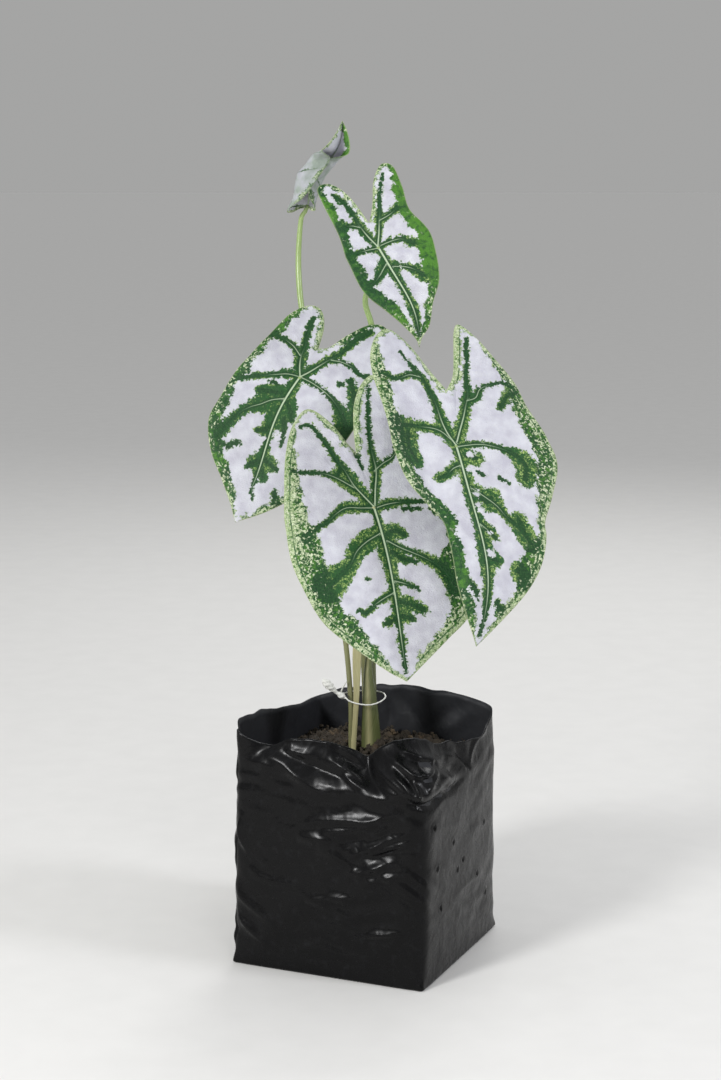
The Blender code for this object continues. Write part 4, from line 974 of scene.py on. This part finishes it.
# %% Rim of the bag
def rim_rows(around):
    """Lean, rim height and lean start for each place, smoothed over about 7 mm. The cut rim ripples by a sum
    of sines of odd lengths, faded in and out by a slower one."""
    s = np.arange(around) * 4.0 / around
    table = np.array(BAG_RIM + [(4.0, *BAG_RIM[0][1:])], float)
    reach = around // 50
    soft = np.exp(-(np.arange(-reach, reach + 1) * 3.0 / reach) ** 2)
    soft /= soft.sum()
    rows = [np.tile(np.interp(s, table[:, 0], table[:, k]), 3) for k in (1, 2, 3)]
    lean, rim, start = (np.convolve(row, soft, "same")[around:2 * around] for row in rows)
    ripple = 0.5 * np.sin(s * 17 + 2) + 0.4 * np.sin(s * 31 + 1) + 0.25 * np.sin(s * 53)
    ripple = ripple * (0.6 + 0.6 * np.sin(s * 5 + 1))
    ripple *= np.clip(np.minimum(s, 4 - s) * 6, 0, 1)
    return lean, rim + ripple, start


print("rim height, mm:", rim_rows(500)[1].min().round(1), "to", rim_rows(500)[1].max().round(1))


# %% Folds of the bag
def film_relief(s, u, z):
    """Slack, folds, drain holes, the pillow at the front corner and the pinched bottom corners, outward. A
    fold is its height times a bell across its path, fading toward both ends of the path."""
    # the side face on the right is drawn tight by the weight behind it
    calm = 1 - 0.6 * np.exp(-((s - 1.53) / 0.42) ** 4) * np.clip((116 - z) / 10, 0, 1)
    out = slack(u, z) * np.clip(z / 14, 0, 1) * calm
    flat = np.column_stack([u.ravel(), z.ravel()])
    for high, wide, path in FOLDS:
        far, _, run, _ = nearest(flat, curve(np.array([(p * BAG_SIDE, h, 0.0) for p, h in path]), 4))
        fade = 0.1 + 1.05 * np.sin(np.pi * np.clip(run, 0, 1)) ** 0.8
        out += (high * fade * np.exp(-(far / wide) ** 1.4)).reshape(z.shape)
    # a drain hole is a small dent with a lip round it
    for p, h in DRAINS:
        d = np.hypot(u - p * BAG_SIDE, z - h)
        out += 0.35 * np.exp(-((d - 2.1) / 0.7) ** 2) - 0.9 * np.exp(-(d / 1.5) ** 2)
    pillow = np.clip((z - 112) / 6, 0, 1) * np.clip((147 - z) / 18, 0, 1)
    out += 4.8 * np.exp(-((s - 1.06) / 0.27) ** 4) * pillow
    ear = np.exp(-((((s + 0.5) % 1.0) - 0.5) * BAG_SIDE / 3.2) ** 2)
    out += 1.5 * ear * np.exp(-(z / 6) ** 2)
    return out


def film(around, share, inward):
    """Square of superellipse corners; half side + bulge - lean - inward + relief, in the direction of the
    place. The share of the rim height is one value a level, or one for each level and place."""
    s = np.arange(around) * 4.0 / around
    face, t = np.floor(s).astype(int), (s % 1.0) * 2 - 1
    one = np.ones_like(t)
    way = np.stack([np.choose(face, [t, one, -t, -one]), np.choose(face, [-one, t, one, -t])], 1)
    lean, rim, start = rim_rows(around)
    share = share[:, None] * one if share.ndim == 1 else share
    z = share * rim
    u = np.broadcast_to(s * BAG_SIDE, z.shape)
    x = np.clip((z - start) / (rim - start), 0, 1)
    leaning = lean * (0.55 * x + 0.45 * x * x * (3 - 2 * x))
    bulge = BAG_BULGE * (1 - t * t) * np.sin(np.pi * np.clip(z / 120, 0, 1))
    half = BAG_SIDE / 2 + bulge - leaning - inward + film_relief(s, u, z) - 1.0 * (share == 0)
    sharp = 20 - 9 * np.clip(share, 0, 1)
    size = half / (np.abs(way[:, 0]) ** sharp + np.abs(way[:, 1]) ** sharp) ** (1 / sharp)
    place = np.stack([u, z, np.full(z.shape, 1.0 * (inward > 0))], -1)
    return np.stack([*turned(way[:, 0] * size, way[:, 1] * size, np.radians(BAG_TURN)), z], -1), place


print("half diagonal of the foot, mm:", round(float(np.hypot(*film(500, np.zeros(1), 0.0)[0][0, 0, :2])), 1))

# %% Film finish
# Black masterbatch makes the film opaque; its skin is glossy, with soft creases about 8 mm apart
# and a very faint grey haze of dust and rubbing. Inside the collar the grey is stronger: painted sheen.
polythene, polythene_skin = new_finish("blown black polyethylene film")
film_at = add(polythene, "Attribute", {}, 1, attribute_name="film_place")
inside = add(polythene, "SeparateXYZ", {0: film_at}, 2)
dust = add(polythene, "TexNoise", {"Vector": film_at, "Scale": 1 / 6, "Detail": 4.0, "Roughness": 0.7})
haze = add(polythene, "MapRange", {0: dust, 1: 0.55, 2: 0.8, 4: 0.25})
# painted sheen: the whole inner face is lightened toward grey, standing in for the hazy sheen inside the
# collar
inside_painted_sheen = add(polythene, "Math", {0: inside, 1: 0.8}, operation="MULTIPLY")
dust_and_painted_sheen = add(polythene, "Math", {0: haze, 1: inside_painted_sheen}, operation="ADD")
film_tint = add(polythene, "Mix", {0: dust_and_painted_sheen, 6: linear("#060607"), 7: linear("#303134")}, 2, data_type="RGBA")
film_gloss = add(polythene, "MapRange", {0: dust, 1: 0.3, 2: 0.8, 3: 0.22, 4: 0.34})
inside_dull = add(polythene, "Math", {0: inside, 1: 0.25}, operation="MULTIPLY")
film_rough = add(polythene, "Math", {0: film_gloss, 1: inside_dull}, operation="ADD")
crinkle = add(polythene, "TexNoise", {"Vector": film_at, "Scale": 1 / 8, "Detail": 1.0, "Roughness": 0.4,
                                      "Distortion": 0.8})
film_bump = add(polythene, "Bump", {"Height": crinkle, "Strength": 0.22, "Distance": 0.0018})
plug(polythene, polythene_skin, {"Base Color": film_tint, "Roughness": film_rough, "Normal": film_bump,
                                 "IOR": 1.45, "Specular IOR Level": 0.21})
print("film finish nodes:", len(polythene.node_tree.nodes))

# %% Build the bag
BAG_ROUND, OUTER_LEVELS, INNER_LEVELS = 500, 136, 40
outer, outer_at = film(BAG_ROUND, np.linspace(0, 1, OUTER_LEVELS), 0.0)
inner, inner_at = film(BAG_ROUND, np.linspace(1, 0, INNER_LEVELS), BAG_WALL)
inner[-1, :, 2] = BAG_WALL
points = np.vstack([[(0, 0, 0)], outer.reshape(-1, 3), inner.reshape(-1, 3), [(0, 0, BAG_WALL)]])
place = np.vstack([[(0, 0, 0)], outer_at.reshape(-1, 3), inner_at.reshape(-1, 3), [(0, 0, 1)]])
piece("bag_film", points, *closed_grid(len(points), BAG_ROUND), polythene, "black_film", "grow_bag",
      dict(film_place=place))

# %% [markdown]
# ## The soil
# A peat and compost mix: dark crumbs from a fraction of a millimetre up to clods of 8 mm, dull all
# over. The surface is one grid with lumps of falling size, and loose crumbs lie on it and round the
# stalks. Each crumb is a dented ball of a few dozen faces, and all of them are one array.

# %% Soil finish
soil, soil_skin = new_finish("peat and compost mix, dry on top")
soil_at = add(soil, "TexCoord", {}, 3)
grain = add(soil, "TexNoise", {"Vector": soil_at, "Scale": 1 / (2.2 * MM), "Detail": 5.0, "Roughness": 0.7})
clump = add(soil, "TexNoise", {"Vector": soil_at, "Scale": 1 / (9 * MM), "Detail": 2.0})
soil_dark = add(soil, "Mix", {0: grain, 6: linear("#13110d"), 7: linear("#463d31")}, 2, data_type="RGBA")
warm_on = add(soil, "MapRange", {0: clump, 1: 0.56, 2: 0.68, 4: 0.8})
soil_warm = add(soil, "Mix", {0: warm_on, 6: soil_dark, 7: linear("#594a36")}, 2, data_type="RGBA")
chip_on = add(soil, "MapRange", {0: grain, 1: 0.68, 2: 0.74, 4: 0.7})
soil_tint = add(soil, "Mix", {0: chip_on, 6: soil_warm, 7: linear("#7d6f5c")}, 2, data_type="RGBA")
soil_bump = add(soil, "Bump", {"Height": grain, "Strength": 0.8, "Distance": 0.0012})
plug(soil, soil_skin, {"Base Color": soil_tint, "Roughness": 0.92, "Normal": soil_bump, "IOR": 1.45})
print("soil finish nodes:", len(soil.node_tree.nodes))


# %% Soil surface
def soil_height(x, y):
    """Mean level + slow lumps + a low mound round the stalks, then rounds of sine products of falling size
    (9, 5, 3 and 1.7 mm) and height (about 0.5 to 0.15 mm)."""
    lumps = (1.6 * np.sin(x / 9.0 + 1.0) * np.cos(y / 11.0) + 1.2 * np.sin(x / 5.0 - y / 7.0)
             + 1.0 * np.cos(y / 4.6 + x / 13.0))
    mound = 3.0 * np.exp(-((x - HOLE_AT[0]) ** 2 + (y - HOLE_AT[1]) ** 2) / 26.0 ** 2)
    dice = np.random.default_rng(11)
    fine = np.zeros_like(x)
    for size, high in ((9, 0.8), (5, 0.6), (3, 0.42), (1.7, 0.25)):
        for _ in range(5):
            turn, p, q = dice.uniform(0, np.pi), dice.uniform(0, 6.3), dice.uniform(0, 6.3)
            v, w = turned(x, y, -turn)
            row = high * 0.6 * np.sin(6.3 * v / size + p + np.sin(w / size))
            fine += row * np.sin(6.3 * w / (size * 1.3) + q)
    return SOIL_TOP + lumps + mound + fine


print("soil level at the stalks, mm:", soil_height(np.array([HOLE_AT[0]]), np.array([HOLE_AT[1]])).round(1))

# %% Soil crumbs
# the larger clods lying on top: across, deep, half size
CLODS = [(-33, 16, 4.0), (-27, 24, 3.2), (-39, 11, 2.8), (-20, 33, 2.4), (27, 22, 2.6), (37, 12, 2.2)]
BALL_RINGS, BALL_AROUND = 6, 7


def ball():
    """A ball of radius 1 as a pole, rings of points and a pole."""
    tilt = (np.arange(BALL_RINGS) + 1) * np.pi / (BALL_RINGS + 1)
    angle = np.arange(BALL_AROUND) * 2 * np.pi / BALL_AROUND
    rings = np.stack([np.outer(np.sin(tilt), np.cos(angle)), np.outer(np.sin(tilt), np.sin(angle)),
                      np.outer(np.cos(tilt), np.ones(BALL_AROUND))], -1).reshape(-1, 3)
    return np.vstack([[(0, 0, 1)], rings, [(0, 0, -1)]])


def crumbs(count):
    """Balls stretched, dented, turned and laid on the soil. Most are 1 to 3 mm across and a few up to 6; a
    third of them crowd round the stalks. The first ones are the clods, which are up to 8 mm across."""
    dice = np.random.default_rng(5)
    shape = ball()
    size = np.minimum(0.4 + 0.7 * dice.gamma(1.1, 0.75, count), 3.2)
    lumps = shape[None] * dice.uniform(0.7, 1.3, (count, 1, 3)) * size[:, None, None]
    lumps = lumps * (1 + 0.24 * dice.standard_normal((count, len(shape), 1)))
    turn = dice.uniform(0, 2 * np.pi, count)
    lumps = np.stack([*turned(lumps[..., 0], lumps[..., 1], turn[:, None]), lumps[..., 2]], -1)
    near = np.arange(count) % 3 == 0
    way, far = dice.uniform(0, 2 * np.pi, count), np.sqrt(dice.uniform(0, 1, count))
    wide_x, wide_y = turned(dice.uniform(-54, 44, count), dice.uniform(-38, 54, count), np.radians(BAG_TURN))
    x = np.where(near, HOLE_AT[0] + 17 * far * np.cos(way), wide_x)
    y = np.where(near, HOLE_AT[1] + 15 * far * np.sin(way), wide_y)
    big = len(CLODS)
    x[:big], y[:big], grow = np.array(CLODS).T
    lumps[:big] *= (grow / size[:big])[:, None, None]
    z = soil_height(x, y) + size * dice.uniform(-0.2, 0.5, count)
    points = (lumps + np.stack([x, y, z], 1)[:, None]).reshape(-1, 3)
    shift = np.arange(count)[:, None, None] * len(shape)
    quads, fans = closed_grid(len(shape), BALL_AROUND)
    return points, *outward(points, (quads[None] + shift).reshape(-1, 4), (fans[None] + shift).reshape(-1, 3))


print("points of one crumb:", len(ball()))

# %% Sides and top of the soil
SOIL_ROUND, SIDE_LEVELS, TOP_RINGS, CRUMBS = 420, 26, 112, 700
SOIL_FLOOR, SOIL_SINK = 2.0, 5.0    # mm, under side of the soil, and how much lower its top lies at the film
SOIL_GAP = BAG_WALL + 1.6    # mm inside the outer face of the film
_, rim_z, _ = rim_rows(SOIL_ROUND)
edge_xy = film(SOIL_ROUND, (SOIL_TOP / rim_z)[None], SOIL_GAP)[0][0, :, :2]
edge_z = soil_height(*edge_xy.T) - SOIL_SINK
levels = np.linspace(0, 1, SIDE_LEVELS)[:, None] ** 0.8 * (edge_z - SOIL_FLOOR) + SOIL_FLOOR
sides, _ = film(SOIL_ROUND, levels / rim_z, SOIL_GAP)
edge_xy = sides[-1, :, :2]
angle = np.arctan2(edge_xy[:, 1] - HOLE_AT[1], edge_xy[:, 0] - HOLE_AT[0])
ring = np.stack([np.cos(angle), np.sin(angle)], 1)
hole = np.array(HOLE_AT) + 0.8 * np.array(HOLE_HALF) * ring
share = np.linspace(1, 0, TOP_RINGS)[:, None, None]
flat = hole + (edge_xy - hole) * share
level = soil_height(flat[..., 0].ravel(), flat[..., 1].ravel()).reshape(flat.shape[:2])
# toward the film the surface sinks, so that no lump stands in the folds
level -= SOIL_SINK * share[..., 0] ** 6
level[0] = edge_z
print("soil level, mm:", level.min().round(1), "to", level.max().round(1))

# %% Build the soil
# below the top a plain hole widens into the room of the tuber, and crumbs lie on the whole
TUBER_ROOM = 0.5    # mm between tuber and soil
middle = TUBER_TOP - TUBER_HALF[2]
foot = np.column_stack([hole, np.full(SOIL_ROUND, TUBER_TOP + 3.0)])
rows = [sides[:-1], np.dstack([flat, level]), foot[None]]
for k in (0.45, 0.0, -0.45, -0.85):
    around_tuber = np.array(HOLE_AT) + ring * (np.array(TUBER_HALF[:2]) + TUBER_ROOM) * np.sqrt(1 - k * k)
    z = middle + k * (TUBER_HALF[2] + TUBER_ROOM)
    rows.append(np.column_stack([around_tuber, np.full(SOIL_ROUND, z)])[None])
points = np.vstack([[(0, 0, SOIL_FLOOR)], np.vstack(rows).reshape(-1, 3),
                    [(*HOLE_AT, middle - TUBER_HALF[2] - TUBER_ROOM)]])
quads, fans = outward(points, *closed_grid(len(points), SOIL_ROUND))
loose, loose_quads, loose_fans = crumbs(CRUMBS)
piece("soil_fill", np.vstack([points, loose]), np.vstack([quads, loose_quads + len(points)]),
      np.vstack([fans, loose_fans + len(points)]), soil, "soil_mix", "soil")

# %% [markdown]
# ## The tuber and the tie
# The tuber is out of sight under the soil; its solid keeps its shape and gets a corky brown skin.
# The stalks are held by a loop of white cotton string, knotted at the left, with one end wide and
# pointed. The string is a rod whose section is a three-strand twist.

# %% Tuber skin and string
def grained(name, scale, detail, dark, light, rough, bump=None):
    """A finish whose colour, and with a bump (strength, depth in m) its relief, follow one noise."""
    finish, skin = new_finish(name)
    at = add(finish, "TexCoord", {}, 3)
    grain = add(finish, "TexNoise", {"Vector": at, "Scale": scale, "Detail": detail})
    tint = add(finish, "Mix", {0: grain, 6: linear(dark), 7: linear(light)}, 2, data_type="RGBA")
    plug(finish, skin, {"Base Color": tint, "Roughness": rough})
    if bump:
        relief = add(finish, "Bump", {"Height": grain, "Strength": bump[0], "Distance": bump[1]})
        plug(finish, skin, {"Normal": relief})
    return finish


cork = grained("corky tuber skin", 1 / (1.5 * MM), 4.0, "#4a3423", "#8d6a49", 0.85, (0.5, 0.0008))
string = grained("white cotton string", 1 / (0.5 * MM), 3.0, "#bcbcb6", "#f2f2ec", 0.7, (0.3, 0.0003))
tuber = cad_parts["tuber"]
tuber.data.materials.clear()
tuber.data.materials.append(cork)
print("tuber faces:", len(tuber.data.polygons))

# %% Build the tie
# places along the string: x, y, z, radius; it starts at the wide end
TIE = [(-27.0, -4, 169.0, 0.5), (-25.2, -4, 167.2, 2.1), (-22.6, -4, 164.8, 2.3),
       (-20.2, -3.6, 162.4, 1.5), (-18.2, -3.2, 160.4, 1.0), (-16.4, -3, 159.2, 1.7),
       (-14.6, -3, 158.2, 1.8), (-12.9, -3.6, 157.2, 0.6), (-10.5, -6.2, 156.0, 0.4),
       (-5.5, -8.1, 154.8, 0.4), (1.5, -8.3, 154.2, 0.4), (7.5, -6.0, 155.4, 0.4),
       (11.0, -1.0, 157.0, 0.4), (10.2, 5.0, 158.0, 0.4), (5.6, 9.7, 158.2, 0.4),
       (-1.0, 12.2, 158.0, 0.4), (-9.0, 10.2, 158.0, 0.4), (-13.6, 5.5, 158.0, 0.4),
       (-15.6, 0.6, 159.4, 0.6), (-15.0, -0.6, 162.4, 0.5), (-12.6, -1.8, 167.0, 0.4)]
TIE_ROUNDS, TIE_AROUND, TIE_TWIST = 300, 18, 3.0    # the twist is in mm for a full turn
line, side, deep, angle, run = rod(TIE, TIE_ROUNDS, TIE_AROUND, (0, 0, 1))
twist = 1 + 0.13 * np.cos(3 * angle[None, :] + 2 * np.pi * run[:, None] / TIE_TWIST)
radius = line[:, 3:4] * twist
points = rod_points(line, side, deep, np.cos(angle) * radius, np.sin(angle) * radius)
piece("tie_string", points, *closed_grid(len(points), TIE_AROUND), string, "white_string", "stem_tie")

# %% [markdown]
# ## Floor, light and camera
# A pale matt floor and soft lights, as in a small product studio: a key from the front left and
# above, a small high light from the front, a weaker fill from the right, a broad one from behind,
# and a pale surround that the film can mirror. Places of lights and camera are in metres.

# %% Floor and surround
floor_finish = grained("pale matt floor", 40.0, 3.0, "#d9d8d5", "#e0dfdc", 0.8)
floor_mesh = bpy.data.meshes.new("floor")
floor_mesh.from_pydata([(-15, -15, 0), (15, -15, 0), (15, 15, 0), (-15, 15, 0)], [], [(0, 1, 2, 3)])
floor_mesh.materials.append(floor_finish)
placed("floor", floor_mesh)

# the surround is paler overhead than at the horizon, where it meets the far floor without a line
world = bpy.data.worlds.new("pale studio")
world.use_nodes = True
sky_up = add(world, "SeparateXYZ", {0: add(world, "TexCoord", {}, 0)}, 2)
sky_on = add(world, "MapRange", {0: sky_up, 1: 0.02, 2: 0.6}, interpolation_type="SMOOTHSTEP")
sky = add(world, "Mix", {0: sky_on, 6: linear("#cfcfce"), 7: linear("#f2f3f5")}, 2, data_type="RGBA")
plug(world, world.node_tree.nodes["Background"], {"Color": sky, "Strength": 0.6})
bpy.context.scene.view_settings.view_transform = "Standard"
bpy.context.scene.world = world
print("surround nodes:", len(world.node_tree.nodes))


# %% Lights
def soft_light(name, at, aim, size, watts, tint):
    """A round area light at a place, turned so that its -Z looks at the aim."""
    lamp = bpy.data.lights.new(name, "AREA")
    lamp.shape = "DISK"
    lamp.size, lamp.energy, lamp.color = size, watts, linear(tint)[:3]
    way = np.array(aim) - np.array(at)
    yaw = np.arctan2(-way[0], way[1])
    pitch = np.arctan2(np.hypot(way[0], way[1]), -way[2])
    holder = placed(name, lamp)
    holder.location, holder.rotation_euler = at, (pitch, 0, yaw)
    print(name, "light:", watts, "W, turned", np.degrees((pitch, yaw)).round())


soft_light("key", (-1.0, -1.1, 0.92), (0.0, 0.0, 0.22), 0.36, 18, "#ffffff")
soft_light("high", (0.25, -1.0, 1.5), (0.0, 0.0, 0.3), 0.3, 2.0, "#ffffff")
soft_light("fill", (1.25, -0.5, 0.95), (0.0, 0.0, 0.25), 0.34, 8.5, "#f8f9ff")
soft_light("back", (0.3, 1.3, 1.2), (0.0, 0.0, 0.3), 0.8, 7, "#ffffff")

# %% Camera
# width of the sensor in mm; focal length and longer side of the view in pixels
SENSOR, LENS_PIXELS, VIEW_PIXELS = 36.0, 2300, 1080
lens = bpy.data.cameras.new("view")
lens.sensor_width, lens.lens = SENSOR, SENSOR * LENS_PIXELS / VIEW_PIXELS
camera = placed("view", lens)
camera.location, camera.rotation_euler = (-0.004, -1.3552, 0.5013), (np.radians(79.65), 0, 0)
bpy.context.scene.camera = camera
print("lens mm:", round(lens.lens, 1))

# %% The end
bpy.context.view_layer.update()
